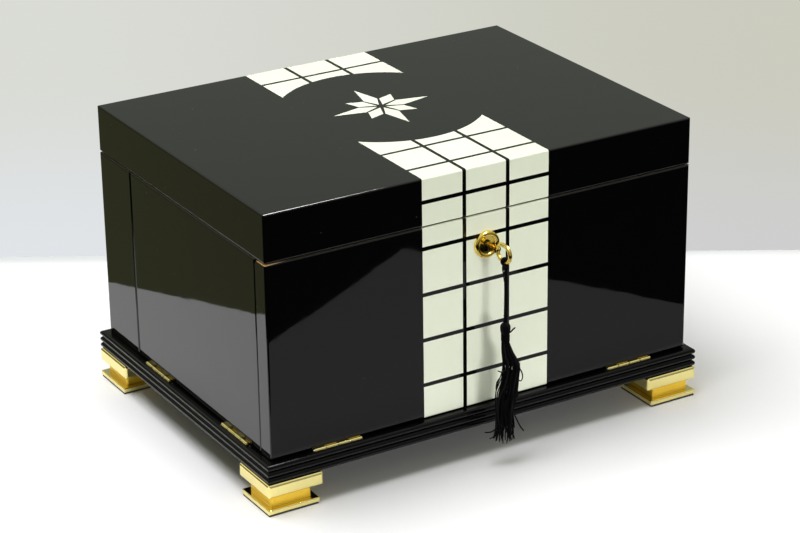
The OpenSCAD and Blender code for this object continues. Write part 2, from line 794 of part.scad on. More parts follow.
module hook_cell() {
  intersection() {
    translate([0, hook_cell_y, key_z]) face_disc(hook_cell_r, hook_cell_t);
    translate([-2 * hook_out, hook_cell_y - cut_over, hook_cell_z])
      cube([4 * hook_out, hook_cell_t + 2 * cut_over, 3 * hook_out]);
  }
}
module lock_case() color(steel) difference() {
  translate([-lock_half, lock_y, lock_floor_z])
    cube([2 * lock_half, board_t - lock_cover, flap_top - strike_t - lock_floor_z]);
  hook_cell();
  keyhole(lock_y - cut_over, bit_y - lock_y + 2 * cut_over, bore_r, slot_half, slot_drop);
  translate([0, bit_y, key_z])
    face_disc(slot_drop + lock_clear, bit_len + 2 * lock_clear);
}
module plate_slots(z) {
  for (s = [-1, 1])
    translate([s > 0 ? strike_bar : -hook_out, hook_cell_y, z - cut_over])
      cube([hook_out - strike_bar, hook_cell_t, strike_t + 2 * cut_over]);
}
module lock_faceplate() color(gold) difference() {
  faceplate_block(0);
  plate_slots(flap_top - strike_t);
}

// Curved hook on a slotted hub. Turning it clockwise carries the finger up and over the strike bar.
module lock_hook() color(steel) translate([0, hook_y, key_z]) mirror([1, 0, 0]) difference() {
  union() {
    face_disc(hub_r, hook_t);
    intersection() {
      difference() {
        face_disc(hook_out, hook_t);
        translate([0, -cut_over, 0]) face_disc(hook_in, hook_t + 2 * cut_over);
      }
      hook_sector(hook_tail, hook_tip);
    }
    intersection() {
      face_disc(hook_out - hook_w / 2, hook_t);
      hook_sector(hook_tail, hook_tail + arm_angle);
    }
  }
  translate([0, -cut_over, 0]) face_disc(bore_r, hook_t + 2 * cut_over);
  translate([-slot_half, -cut_over, -slot_drop]) cube([2 * slot_half, hook_t + 2 * cut_over, slot_drop]);
}
module hook_sector(a0, a1) {
  reach = 2 * hook_out;
  mid = (a0 + a1) / 2;
  rotate([90, 0, 0]) translate([0, 0, -hook_t]) linear_extrude(hook_t)
    polygon([[0, 0], [reach * cos(a0), reach * sin(a0)], [reach * cos(mid), reach * sin(mid)],
      [reach * cos(a1), reach * sin(a1)]]);
}

// Key: shank with a bit, a flared collar and an oval bow in the plane of the bit
module key() color(gold) {
  shank_end = bow_y + bow_straight / 2 + bow_r;
  bit_at = bit_y + lock_clear;
  translate([0, shank_end, key_z]) face_disc(shank_r, bit_at + bit_len - shank_end);
  translate([-bit_t / 2, bit_at, key_z - bit_drop]) cube([bit_t, bit_len, bit_drop]);
  translate([0, shank_end, key_z]) rotate([-90, 0, 0])
    cylinder(r1 = collar_r, r2 = shank_r, h = collar_len);
  translate([0, bow_y, key_z]) bow();
}
module bow() {
  for (side = [0, 1]) mirror([0, side, 0]) translate([0, bow_straight / 2, 0]) rotate([0, 90, 0])
    rotate_extrude(angle = 180) translate([bow_r, 0]) circle(bow_wire);
  for (side = [-1, 1]) translate([0, 0, side * bow_r]) rotate([90, 0, 0])
    cylinder(r = bow_wire, h = bow_straight, center = true);
}

// Tassel

function cord_point(p) = [p[0], tassel_y, cord_top_z - p[1] * cord_len];
function ring_points(c) = [for (i = [0 : cord_sides - 1]) let (a = 360 * i / cord_sides)
  [c[0] + cord_d / 2 * cos(a), c[1] + cord_d / 2 * sin(a), c[2]]];
module tassel_cord() color(felt) {
  n = len(cord_drift);
  last = (n - 1) * cord_sides;
  points = [for (p = cord_drift) each ring_points(cord_point(p))];
  sides = [for (k = [0 : n - 2]) for (i = [0 : cord_sides - 1]) let (j = (i + 1) % cord_sides)
    [k * cord_sides + i, k * cord_sides + j, (k + 1) * cord_sides + j, (k + 1) * cord_sides + i]];
  top_cap = [for (i = [cord_sides - 1 : -1 : 0]) i];
  bottom_cap = [for (i = [0 : cord_sides - 1]) last + i];
  polyhedron(points, concat(sides, [top_cap, bottom_cap]));
}
module tassel_head() color(felt) translate([0, tassel_y, wrap_top_z]) rotate_extrude() {
  shoulder = head_r / 2;
  square([head_r - shoulder, head_h]);
  square([head_r, head_h - shoulder]);
  translate([head_r - shoulder, head_h - shoulder]) circle(shoulder);
  translate([0, -wrap_h]) square([wrap_r, wrap_h]);
}
module tassel_skirt() color(felt) translate([0, tassel_y, skirt_top_z]) rotate_extrude()
  polygon([[0, 0], [wrap_r, 0], [skirt_r, -skirt_swell], [skirt_foot_r, -skirt_len], [0, -skirt_len]]);

// Lid

module lid_block(inset = 0) {
  r = lid_edge_r - inset;
  h = lid_h - 2 * inset;
  intersection() {
    translate([0, 0, lid_bottom + inset]) along_x(body_w) rounded_rect(body_d - 2 * inset, h, r);
    translate([0, 0, lid_bottom + inset]) along_y(body_d) rounded_rect(body_w - 2 * inset, h, r);
    translate([0, front_y, lid_bottom]) linear_extrude(lid_h) rounded_rect(body_w, body_d, lid_edge_r);
  }
}
module lid_tile_cuts() {
  difference() {
    union() {
      corner_tile_prisms();
      front_tile_prisms();
      top_tile_prisms();
    }
    lid_block(tile_t);
    disc_prism();
  }
}
module star_points(over) {
  for (i = [0 : star_count - 1]) translate([0, disc_back, lid_top - tile_t]) rotate(360 * i / star_count)
    linear_extrude(tile_t + over)
      polygon([[star_foot, 0], [star_waist, star_half], [i % 2 == 0 ? star_long : star_short, 0],
        [star_waist, -star_half]]);
}
module lid_shell() color(black) difference() {
  lid_block();
  translate([-inner_x, inner_front, lid_bottom - cut_over])
    cube([2 * inner_x, inner_rear - inner_front, lid_ceiling - lid_bottom + cut_over]);
  lid_tile_cuts();
  star_points(cut_over);
  at_lid_hinges() on_hinge_axes(lid_hinge_x) leaf_mortise();
  strike_block(cut_over);
  hook_cell();
}
module lid_inlay() color(ivory) intersection() {
  lid_block();
  lid_tile_cuts();
}
module medallion_inlay() color(ivory) star_points(0);
module lid_lining() color(cedar) {
  wall_h = lid_lining_z - lid_bottom - lid_edge_r;
  lined_d = inner_rear - inner_front;
  translate([-inner_x, inner_front, lid_lining_z]) cube([2 * inner_x, lined_d, lining_t]);
  for (y = [inner_front, inner_rear - lining_t])
    translate([-inner_x, y, lid_lining_z - wall_h]) cube([2 * inner_x, lining_t, wall_h]);
  for (x = [-inner_x, inner_x - lining_t])
    translate([x, inner_front + lining_t, lid_lining_z - wall_h])
      cube([lining_t, lined_d - 2 * lining_t, wall_h]);
}
module lid_hinge_leaves() color(gold) at_lid_hinges() on_hinge_axes(lid_hinge_x) hinge_leaf();
module strike_block(under) {
  translate([-strike_half, strike_y, lid_bottom - under])
    cube([2 * strike_half, strike_w, strike_t + under]);
}
module strike_plate() color(gold) difference() {
  strike_block(0);
  plate_slots(lid_bottom);
}

// Hygrometer and humidifier under the lid

module at_hygrometer(z) translate([-hygrometer_x, 0, z]) children();
module hygrometer_bezel() color(gold) at_hygrometer(lid_lining_z - bezel_h) rotate_extrude() {
  bore = bezel_r - bezel_w;
  translate([bore, bezel_w / 2]) square([bezel_w, bezel_h - bezel_w / 2]);
  translate([bore + bezel_w / 2, bezel_w / 2]) circle(bezel_w / 2);
}
module hygrometer_dial() color("white") at_hygrometer(0) {
  translate([0, 0, dial_z]) cylinder(r = bezel_r - bezel_w, h = dial_t);
  translate([0, 0, dial_z - pivot_len]) cylinder(r = pivot_r, h = pivot_len);
}
module hygrometer_glass() color([0.8, 0.9, 0.95, 0.4])
  at_hygrometer(glass_z) cylinder(r = bezel_r - bezel_w, h = dial_t);
module hygrometer_needle() color(black) at_hygrometer(needle_z) difference() {
  union() {
    cylinder(r = needle_hub_r, h = needle_t);
    linear_extrude(needle_t) polygon([[-needle_w / 2, 0], [needle_w / 2, 0], [0, -needle_len]]);
    translate([-needle_w / 2, 0, 0]) cube([needle_w, needle_len / 3, needle_t]);
  }
  translate([0, 0, -cut_over]) cylinder(r = pivot_r + pin_fit, h = needle_t + 2 * cut_over);
}
module at_humidifier(z) translate([humidifier_x, 0, z]) children();
module humidifier_case() color(felt) at_humidifier(lid_lining_z - humidifier_h)
  bullnose_block(humidifier_w, humidifier_d, humidifier_h, humidifier_r);
module humidifier_grille() color(gold) at_humidifier(lid_lining_z - humidifier_h - grille_t) {
  pitch = (humidifier_w - 2 * grille_end) / grille_slots;
  difference() {
    translate([-humidifier_w / 2 + grille_inset, -humidifier_d / 2 + grille_inset, 0])
      cube([humidifier_w - 2 * grille_inset, humidifier_d - 2 * grille_inset, grille_t]);
    for (i = [0 : grille_slots - 1])
      translate([-humidifier_w / 2 + grille_end + (i + 0.25) * pitch, -humidifier_d / 2 + grille_side,
        -cut_over])
        cube([pitch / 2, humidifier_d - 2 * grille_side, grille_t + 2 * cut_over]);
  }
}

base_board();
plinth_front();
plinth_rear();
plinth_left();
plinth_right();
foot_front_left();
foot_front_right();
foot_rear_left();
foot_rear_right();
foot_pads();
back_panel();
left_stile();
right_stile();
cedar_floor();
cedar_posts();
cedar_shelf();
cedar_uprights();
cedar_deck();
cedar_rim_front_rear();
cedar_rim_sides();
cedar_dividers();
cedar_back();
case_magnets();
flap_hinge_base_leaves();
lid_hinge_base_leaves();
hinge_pins();
front_panel();
front_inlay();
front_lining();
front_hinge_leaves();
front_catches();
escutcheon();
lock_case();
lock_faceplate();
key();
lock_hook();
tassel_cord();
tassel_head();
tassel_skirt();
left_panel();
left_lining();
left_hinge_leaves();
left_catches();
right_panel();
right_lining();
right_hinge_leaves();
right_catches();
lid_shell();
lid_inlay();
medallion_inlay();
lid_lining();
lid_hinge_leaves();
strike_plate();
hygrometer_bezel();
hygrometer_dial();
hygrometer_glass();
hygrometer_needle();
humidifier_case();
humidifier_grille();
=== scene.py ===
"""Finishes, tassel, trim and stage of a lacquered cigar humidor, dressed around its packed CAD frame.

Lengths are metres, in the frame of the CAD model: z is up from the table, the front faces -Y.
"""

import json
import math
import random

import bmesh
import bpy
from bpy.props import FloatProperty, FloatVectorProperty, IntProperty, PointerProperty
from mathutils import Matrix, Vector


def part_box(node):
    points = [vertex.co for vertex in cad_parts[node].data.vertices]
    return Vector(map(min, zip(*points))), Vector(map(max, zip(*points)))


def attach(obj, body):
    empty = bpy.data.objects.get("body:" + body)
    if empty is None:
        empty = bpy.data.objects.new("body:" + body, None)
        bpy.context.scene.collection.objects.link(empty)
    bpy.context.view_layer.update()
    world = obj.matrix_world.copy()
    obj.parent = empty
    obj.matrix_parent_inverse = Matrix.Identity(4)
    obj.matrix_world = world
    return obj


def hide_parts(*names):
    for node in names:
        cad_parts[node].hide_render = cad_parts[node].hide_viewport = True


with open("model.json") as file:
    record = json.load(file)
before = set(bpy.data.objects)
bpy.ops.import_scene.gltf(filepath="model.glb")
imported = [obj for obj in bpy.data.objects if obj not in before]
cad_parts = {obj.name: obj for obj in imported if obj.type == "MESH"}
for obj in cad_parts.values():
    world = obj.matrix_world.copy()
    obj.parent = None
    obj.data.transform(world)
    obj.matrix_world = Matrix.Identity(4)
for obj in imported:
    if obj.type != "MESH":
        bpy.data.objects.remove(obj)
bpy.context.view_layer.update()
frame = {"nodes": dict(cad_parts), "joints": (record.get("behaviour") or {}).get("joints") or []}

bl_info = {
    "name": "Cigar Humidor",
    "version": (1, 0, 0),
    "blender": (4, 5, 0),
    "location": "3D View > Sidebar > Humidor",
    "description": "Dresses the CAD frame of a cigar humidor: finishes, tassel, screws, dial and stage",
    "category": "Object",
}

MM = 0.001
NODES = frame["nodes"]

# Route of the tassel's cord below the key's bow: sideways drift, and share of the cord's length
CORD_ROUTE = [(0.0, 0.0), (0.3 * MM, 0.2), (0.5 * MM, 0.5), (0.3 * MM, 0.8), (0.0, 1.0)]

# Cedar boards with their grain along Y and along Z; in the others it runs along X
GRAIN_ALONG_Y = ("cedar_uprights", "cedar_dividers", "cedar_rim_sides", "left_lining", "right_lining")
GRAIN_ALONG_Z = ("cedar_posts", "cedar_back")

# Nodes with the warmer gilding
RICH_GOLD = ("escutcheon", "key")

# Nodes with the reeds, where the lacquer is thinner, and its gloss on them
REEDED = ("plinth_front", "plinth_rear", "plinth_left", "plinth_right")
REED_GLOSS = 0.22

# Painted glint, a line of light in the seam along the flaps' top edges: its rise over the edge, its height
# there and at the front left corner, its width, and where that corner starts, as a share of the way to it
EDGE_RISE = 0.12 * MM
EDGE_HEIGHT = 0.24 * MM
CORNER_HEIGHT = 0.60 * MM
EDGE_WIDTH = 2.3 * MM
CORNER_START = 0.92

# Shift that puts the joints of the tiles on the steps of their pattern
TILE_SHIFT = (20.0 * MM, 15.5 * MM, 2.0 * MM)

# Where the neck of a foot starts and ends, as shares of the foot's height
NECK = (0.16, 0.535)

# The moving leaves that turn on each hinge
LEAVES = {
    "lid_hinge": "lid_hinge_leaves",
    "front_flap_hinge": "front_hinge_leaves",
    "left_flap_hinge": "left_hinge_leaves",
    "right_flap_hinge": "right_hinge_leaves",
}


def turned(angle, reach=1.0, z=0.0):
    """A place at an angle about Z from X."""
    return Vector((reach * math.cos(angle), reach * math.sin(angle), z))


def centre_of(node):
    """The middle of a CAD node's box."""
    low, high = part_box(node)
    return (low + high) / 2


def colour_property(name, description, default):
    """A colour that a user may change."""
    return FloatVectorProperty(
        name=name, description=description, default=default, size=3, min=0.0, max=1.0, subtype="COLOR"
    )


def length_property(name, description, default):
    """A length that a user may change."""
    return FloatProperty(
        name=name, description=description, default=default, min=0.0, unit="LENGTH", precision=4
    )


def count_property(name, description, default, low, high):
    """A whole number that a user may change."""
    return IntProperty(name=name, description=description, default=default, min=low, max=high)


def power_property(name, description, watts):
    """The power of a light that a user may change."""
    return FloatProperty(name=name, description=description, default=watts, unit="POWER")


def angle_property(name, description, degrees):
    """An angle that a user may change, given in degrees."""
    return FloatProperty(name=name, description=description, default=math.radians(degrees), subtype="ANGLE")


class HumidorFinishes(bpy.types.PropertyGroup):
    """Colours of the humidor's materials."""

    lacquer: colour_property("Lacquer", "Body of the black lacquer", (0.0014, 0.0014, 0.0016))
    dust: colour_property("Dust", "Specks on the lacquer", (0.3, 0.3, 0.28))
    ivory: colour_property("Ivory", "Tiles of the inlaid band", (0.83, 0.87, 0.735))
    gold: colour_property("Gold", "Gilt of the hardware", (0.95, 0.83, 0.34))
    gold_deep: colour_property("Neck reflection", "Painted gold-on-gold reflection in the feet's necks", (0.90, 0.58, 0.05))
    gold_rich: colour_property("Rich gold", "Gilt of the escutcheon and the key", (0.94, 0.70, 0.15))
    bare_corner: colour_property("Corner glint", "Painted glint in the seam at the front left corner", (0.85, 0.50, 0.18))
    bare_edge: colour_property("Edge glint", "Painted glint in the seam along the flaps' top edges", (0.15, 0.12, 0.08))
    cedar: colour_property("Cedar", "Early wood of the cedar", (0.40, 0.19, 0.09))
    cedar_dark: colour_property("Dark cedar", "Late wood of the cedar", (0.22, 0.085, 0.035))
    felt: colour_property("Felt", "Pads under the feet", (0.012, 0.012, 0.013))
    steel: colour_property("Steel", "Magnets, catches and lock hook", (0.56, 0.57, 0.58))
    thread: colour_property("Thread", "Tassel and its cord", (0.0008, 0.0008, 0.0009))
    thread_shine: colour_property("Thread glint", "Painted glint on a few threads of the tassel", (0.007, 0.007, 0.0075))
    paper: colour_property("Dial paper", "Face of the hygrometer", (0.82, 0.80, 0.74))
    ink: colour_property("Ink", "Scale and needle of the hygrometer", (0.01, 0.01, 0.012))
    glass: colour_property("Glass", "Glass of the hygrometer", (0.97, 0.99, 0.98))
    plastic: colour_property("Plastic", "Case of the humidifier", (0.014, 0.014, 0.015))


class HumidorTassel(bpy.types.PropertyGroup):
    """Sizes of the tassel on the key."""

    cord_length: length_property("Cord length", "From the key's bow to the tassel's head", 50.0 * MM)
    cord_diameter: length_property("Cord diameter", "Across the twisted strands", 3.4 * MM)
    strands: count_property("Strands", "Strands twisted into the cord", 3, 2, 4)
    twist_pitch: length_property("Twist", "Length of one turn of the strands", 8.0 * MM)
    thread_diameter: length_property("Thread", "Diameter of one thread of the skirt", 1.15 * MM)
    threads: count_property("Threads", "Threads in the skirt", 52, 20, 200)
    bow_radius: length_property("Bow", "Radius of the key's bow at the middle of its wire", 6.6 * MM)
    loop_thread: length_property("Loop thread", "Diameter of the cord's loop round the bow", 1.5 * MM)
    head_thread: length_property("Head thread", "Diameter of the threads over the head", 1.2 * MM)
    head_threads: count_property("Head threads", "Threads over the head", 20, 8, 60)
    wrap_radius: length_property("Neck", "Radius of the wrapped neck", 3.6 * MM)
    wrap_height: length_property("Neck height", "Height of the wrapped neck", 7.0 * MM)
    wrap_turns: count_property("Wraps", "Turns of thread round the neck", 7, 2, 12)
    seed: IntProperty(name="Seed", description="Seed of the lie of the threads", default=11)


class HumidorTrim(bpy.types.PropertyGroup):
    """Sizes of the screws and of the hygrometer's scale."""

    screw_diameter: length_property("Screw head", "Diameter of the hinge screws' heads", 4.2 * MM)
    screw_spacing: FloatProperty(
        name="Screw spacing", description="From the middle to an outer screw, as a share of the leaf",
        default=0.32, min=0.1, max=0.45,
    )
    screw_seed: IntProperty(name="Screw seed", description="Seed of the slots' turns", default=50)
    dial_thickness: length_property("Dial", "Thickness of the hygrometer's dial", 1.2 * MM)
    dial_sweep: angle_property("Scale sweep", "Half of the angle that the scale covers", 120.0)
    dial_steps: count_property("Scale steps", "Fine steps of the scale", 50, 10, 100)
    number_size: length_property("Numbers", "Height of the scale's numbers", 4.4 * MM)
    print_thickness: length_property("Print", "Thickness of the printed scale", 0.03 * MM)


class HumidorStage(bpy.types.PropertyGroup):
    """Camera, table and light."""

    camera_place: FloatVectorProperty(
        name="Camera", description="Place of the camera", subtype="TRANSLATION",
        default=(-1.07236, -1.83038, 1.01407),
    )
    camera_lens: FloatProperty(name="Lens", description="Focal length", default=121.62, unit="CAMERA")
    azimuth: angle_property("Azimuth", "Turn of the view about Z from straight on", -30.522)
    elevation: angle_property("Elevation", "Height of the view over the table", 23.038)
    roll: angle_property("Roll", "Tilt of the camera about its own axis", -0.831)
    table_left: length_property("Table left", "Reach of the table to the view's left", 0.42)
    table_right: length_property("Table right", "Reach of the table to the view's right", 0.422)
    table_front: length_property("Table front", "Reach of the table towards the view", 0.396)
    table_skew: length_property("Table skew", "Extra reach of the table's far left corner", 0.012)
    table_back: length_property("Table back", "Reach of the table away from the view", 0.290)
    table: colour_property("Table", "White table top", (0.84, 0.84, 0.87))
    wall_left: colour_property("Wall left", "Backdrop at the view's left", (0.70, 0.71, 0.67))
    wall_right: colour_property("Wall right", "Backdrop at the view's right", (0.60, 0.60, 0.52))
    low_left: colour_property("Low left", "Backdrop behind the table's left", (0.75, 0.78, 0.81))
    low_right: colour_property("Low right", "Backdrop behind the table's right", (0.62, 0.62, 0.62))
    ambient: colour_property("Ambient", "Even light from all round", (0.240, 0.242, 0.180))
    key_power: power_property("Key light", "Softbox overhead", 64.0)
    fill_power: power_property("Fill light", "Low softbox in front", 13.0)
    rim_power: power_property("Rim light", "Strip that glints on edges", 90.0)


SETTINGS = {
    "humidor_finishes": HumidorFinishes,
    "humidor_tassel": HumidorTassel,
    "humidor_trim": HumidorTrim,
    "humidor_stage": HumidorStage,
}


# Node trees

class Tree:
    """Adds nodes to a tree and wires them, so that a finish reads from top to bottom."""

    def __init__(self, tree):
        self.tree = tree

    def add(self, kind, inputs=None, **settings):
        """A new node; each input is a constant or the socket that feeds it."""
        made = self.tree.nodes.new("ShaderNode" + kind)
        for name, value in settings.items():
            setattr(made, name, value)
        for name, value in (inputs or {}).items():
            self.feed(made.inputs[name], value)
        return made

    def feed(self, socket, value):
        """Set a socket, or link it if the value is a socket."""
        if isinstance(value, bpy.types.NodeSocket):
            self.tree.links.new(value, socket)
        elif socket.type == "RGBA":
            socket.default_value = (*value, 1.0)
        else:
            socket.default_value = value

    def math(self, operation, first, second=0.5):
        """The result of one sum."""
        return self.add("Math", {0: first, 1: second}, operation=operation).outputs[0]

    def times(self, first, second):
        """The product of two values, or the overlap of two masks."""
        return self.math("MULTIPLY", first, second)

    def axes(self, vector):
        """The three coordinates of a vector."""
        return self.add("SeparateXYZ", {0: vector}).outputs

    def dot(self, first, second):
        """How far one vector reaches along another."""
        return self.add("VectorMath", {0: first, 1: second}, operation="DOT_PRODUCT").outputs["Value"]

    def between(self, value, low, high, to_low=0.0, to_high=1.0):
        """Value mapped smoothly from one range to another, and held at its ends."""
        return self.add(
            "MapRange",
            {"Value": value, "From Min": low, "From Max": high, "To Min": to_low, "To Max": to_high},
            interpolation_type="SMOOTHSTEP",
        ).outputs["Result"]

    def mix(self, factor, first, second):
        """A colour between two colours."""
        made = self.add("Mix", {"Factor": factor}, data_type="RGBA")
        self.feed(made.inputs[6], first)
        self.feed(made.inputs[7], second)
        return made.outputs[2]

    def noise(self, vector, scale, detail=2.0, roughness=0.5):
        """Grey noise over a surface."""
        return self.add(
            "TexNoise", {"Vector": vector, "Scale": scale, "Detail": detail, "Roughness": roughness}
        ).outputs["Fac"]

    def stretched(self, vector, scale):
        """Coordinates scaled along each axis."""
        return self.add("Mapping", {"Vector": vector, "Scale": scale}).outputs["Vector"]

    def bump(self, height, distance, strength=1.0):
        """A normal from a height in metres at full white."""
        made = self.add("Bump", {"Height": height, "Distance": distance, "Strength": strength})
        return made.outputs["Normal"]

    def place(self):
        """Coordinates of the piece itself, in metres."""
        return self.add("TexCoord").outputs["Object"]

    def group(self, tree, inputs):
        """A shared effect, with its own values."""
        return self.add("Group", inputs, node_tree=tree).outputs


def new_group(name, inputs, outputs):
    """An empty shader node group with its sockets, as (tree, inlet, outlet)."""
    tree = bpy.data.node_groups.new(name, "ShaderNodeTree")
    for label, kind, default in inputs:
        socket = tree.interface.new_socket(label, in_out="INPUT", socket_type="NodeSocket" + kind)
        if default is not None:
            socket.default_value = default
    for label, kind in outputs:
        tree.interface.new_socket(label, in_out="OUTPUT", socket_type="NodeSocket" + kind)
    return Tree(tree), tree.nodes.new("NodeGroupInput").outputs, tree.nodes.new("NodeGroupOutput").inputs


def polish_group():
    """Slow ripple of a hand-rubbed finish, and the cloudy marks that polishing leaves."""
    t, inlet, outlet = new_group(
        "Hand polish",
        [("Vector", "Vector", None), ("Ripple", "Float", 32.0), ("Marks", "Float", 55.0)],
        [("Height", "Float"), ("Smear", "Float")],
    )
    ripple = t.noise(inlet["Vector"], inlet["Ripple"], 1.0, 0.3)
    smear = t.noise(t.stretched(inlet["Vector"], (1.0, 1.0, 0.35)), inlet["Marks"], 4.0, 0.65)
    t.feed(outlet["Height"], ripple)
    t.feed(outlet["Smear"], t.between(smear, 0.45, 0.75))
    return t.tree


def dust_group():
    """Sparse specks of dust, as a mask."""
    t, inlet, outlet = new_group(
        "Dust specks",
        [("Vector", "Vector", None), ("Scale", "Float", 140.0), ("Size", "Float", 0.055)],
        [("Mask", "Float")],
    )
    cells = t.add("TexVoronoi", {"Vector": inlet["Vector"], "Scale": inlet["Scale"]})
    lot = t.add("SeparateColor", {"Color": cells.outputs["Color"]}).outputs[0]
    chosen = t.math("GREATER_THAN", lot, 0.93)
    speck = t.math("LESS_THAN", cells.outputs["Distance"], inlet["Size"])
    t.feed(outlet["Mask"], t.times(speck, chosen))
    return t.tree


def grain_group():
    """Long fibres and broad figure of wood that runs along X of its coordinates."""
    t, inlet, outlet = new_group(
        "Wood grain",
        [("Vector", "Vector", None), ("Light", "Color", None), ("Dark", "Color", None)],
        [("Color", "Color"), ("Height", "Float"), ("Pores", "Float")],
    )
    warp = t.noise(t.stretched(inlet["Vector"], (6.0, 30.0, 30.0)), 1.0, 3.0)
    long = t.stretched(inlet["Vector"], (3.0, 75.0, 75.0))
    along = t.add("VectorMath", {0: long, 1: warp}, operation="ADD").outputs[0]
    figure = t.noise(along, 1.0, 4.0, 0.55)
    fibre = t.noise(t.stretched(inlet["Vector"], (28.0, 1100.0, 1100.0)), 1.0, 3.0, 0.6)
    tone = t.math("ADD", t.times(t.between(figure, 0.3, 0.7), 0.7), t.times(fibre, 0.3))
    t.feed(outlet["Color"], t.mix(tone, inlet["Light"], inlet["Dark"]))
    t.feed(outlet["Height"], fibre)
    t.feed(outlet["Pores"], t.between(fibre, 0.62, 0.75))
    return t.tree


def tile_group():
    """A slightly different tone for each tile of a square pattern."""
    t, inlet, outlet = new_group(
        "Tile tone",
        [("Vector", "Vector", None), ("Pitch", "Float", 40.0 * MM),
         ("Colour", "Color", None), ("Spread", "Float", 0.1)],
        [("Color", "Color")],
    )
    step = t.add("CombineXYZ", dict.fromkeys(range(3), inlet["Pitch"])).outputs[0]
    shifted = t.add("VectorMath", {0: inlet["Vector"], 1: TILE_SHIFT}, operation="ADD").outputs[0]
    cell = t.add("VectorMath", {0: shifted, 1: step}, operation="SNAP").outputs[0]
    tone = t.add("TexWhiteNoise", {"Vector": cell}, noise_dimensions="3D").outputs["Value"]
    streak = t.noise(t.stretched(inlet["Vector"], (160.0, 40.0, 40.0)), 1.0, 4.0)
    shade = t.times(t.math("ADD", t.times(streak, 0.5), t.times(tone, 0.5)), inlet["Spread"])
    colour = inlet["Colour"]
    darker = t.add("HueSaturation", {"Value": 0.86, "Saturation": 1.15, "Color": colour}).outputs[0]
    t.feed(outlet["Color"], t.mix(shade, colour, darker))
    return t.tree


# Materials

class Finish(Tree):
    """A new material, whose tree ends in its Principled shader."""

    def __init__(self, name):
        self.material = bpy.data.materials.new(name)
        self.material.use_nodes = True
        super().__init__(self.material.node_tree)

    def shade(self, inputs):
        """Feed the shader's own sockets, and give back the material."""
        shader = self.tree.nodes["Principled BSDF"]
        for name, value in inputs.items():
            self.feed(shader.inputs[name], value)
        return self.material


def lacquer(colours, groups, name="black_lacquer_finish", gloss=0.5):
    """Deep black piano lacquer, rubbed to a mirror, worn to the wood along the flaps' top edges."""
    t = Finish(name)
    place = t.place()
    polish = t.group(groups["polish"], {"Vector": place})
    specks = t.group(groups["dust"], {"Vector": place})["Mask"]
    rough = t.between(polish["Smear"], 0.0, 1.0, 0.03, 0.06)
    x, y, z = t.axes(place)
    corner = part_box("lid_shell")[1]
    outer = t.math("MAXIMUM", t.math("SUBTRACT", t.math("ABSOLUTE", x), corner.x),
                   t.math("SUBTRACT", t.math("ABSOLUTE", y), corner.y))
    furthest = -(corner.x + corner.y)
    # Painted glint: a line of light along the flaps' top edges, taller and brighter at the front left corner
    near_corner = t.between(t.math("ADD", x, y), CORNER_START * furthest, furthest)
    fall = t.math("SUBTRACT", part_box("front_panel")[1].z + EDGE_RISE, z)
    glint_height = t.between(near_corner, 0.0, 1.0, EDGE_HEIGHT, CORNER_HEIGHT)
    edge = t.times(t.math("GREATER_THAN", fall, 0.0), t.math("LESS_THAN", fall, glint_height))
    edge = t.times(edge, t.math("GREATER_THAN", outer, -EDGE_WIDTH))
    # Colours of the painted glint, from the edges to the front left corner
    wood = t.mix(near_corner, colours.bare_edge, colours.bare_corner)
    dusty = t.mix(t.times(specks, 0.25), colours.lacquer, colours.dust)
    return t.shade({
        "Base Color": t.mix(edge, dusty, wood),
        "Roughness": t.math("ADD", rough, t.times(t.math("MAXIMUM", specks, edge), 0.35)),
        "IOR": 1.47,
        "Specular IOR Level": gloss,
        "Normal": t.bump(polish["Height"], 0.18 * MM, 0.5),
    })


def ivory(colours, groups):
    """Polished ivory-white tiles, each of its own tone."""
    t = Finish("ivory_inlay_finish")
    place = t.place()
    tile = t.group(groups["tile"], {"Vector": place, "Colour": colours.ivory, "Spread": 0.5})
    polish = t.group(groups["polish"], {"Vector": place, "Ripple": 60.0})
    return t.shade({
        "Base Color": tile["Color"],
        "Roughness": t.between(polish["Smear"], 0.0, 1.0, 0.12, 0.22),
        "IOR": 1.5,
        "Normal": t.bump(polish["Height"], 0.05 * MM, 0.5),
    })


def gilt(name, groups, tone, neck_painted_tone, rough):
    """Bright gilding; it is deeper and softer in the necks of the feet."""
    t = Finish(name)
    place = t.place()
    polish = t.group(groups["polish"], {"Vector": place, "Ripple": 40.0, "Marks": 200.0})
    low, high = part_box("foot_front_left")
    start, end = (low.z + share * (high.z - low.z) for share in NECK)
    height = t.axes(place)[2]
    # The neck gets a painted reflection of gold on gold: a deeper colour and less metal
    neck = t.times(t.math("GREATER_THAN", height, start), t.math("LESS_THAN", height, end))
    plain = t.mix(polish["Smear"], tone, 0.97 * tone)
    smeared = t.between(polish["Smear"], 0.0, 1.0, rough, 1.5 * rough)
    return t.shade({
        "Base Color": t.mix(neck, plain, neck_painted_tone),
        "Metallic": t.between(neck, 0.0, 1.0, 1.0, 0.65),
        "Roughness": t.math("ADD", smeared, t.times(neck, 0.26)),
        "Normal": t.bump(polish["Height"], 0.006 * MM, 0.5),
    })


def gold(colours, groups):
    """Pale mirror-bright gilding of the feet, the hinges and the plates."""
    return gilt("polished_gold_finish", groups, colours.gold, colours.gold_deep, 0.05)


def rich_gold(colours, groups):
    """Warm gilding of the escutcheon and the key, handled to a softer shine."""
    return gilt("rich_gold_finish", groups, colours.gold_rich, colours.gold_rich, 0.13)


def cedar(colours, groups, axis):
    """Bare Spanish cedar with its grain along one axis."""
    t = Finish("cedar_finish_" + "xyz"[axis])
    axes = t.axes(t.place())
    vector = t.add("CombineXYZ", {k: axes[(axis + k) % 3] for k in range(3)}).outputs[0]
    grain = t.group(groups["grain"], {"Vector": vector, "Light": colours.cedar, "Dark": colours.cedar_dark})
    return t.shade({
        "Base Color": grain["Color"],
        "Roughness": t.between(grain["Pores"], 0.0, 1.0, 0.52, 0.8),
        "Normal": t.bump(grain["Height"], 0.15 * MM, 0.5),
    })


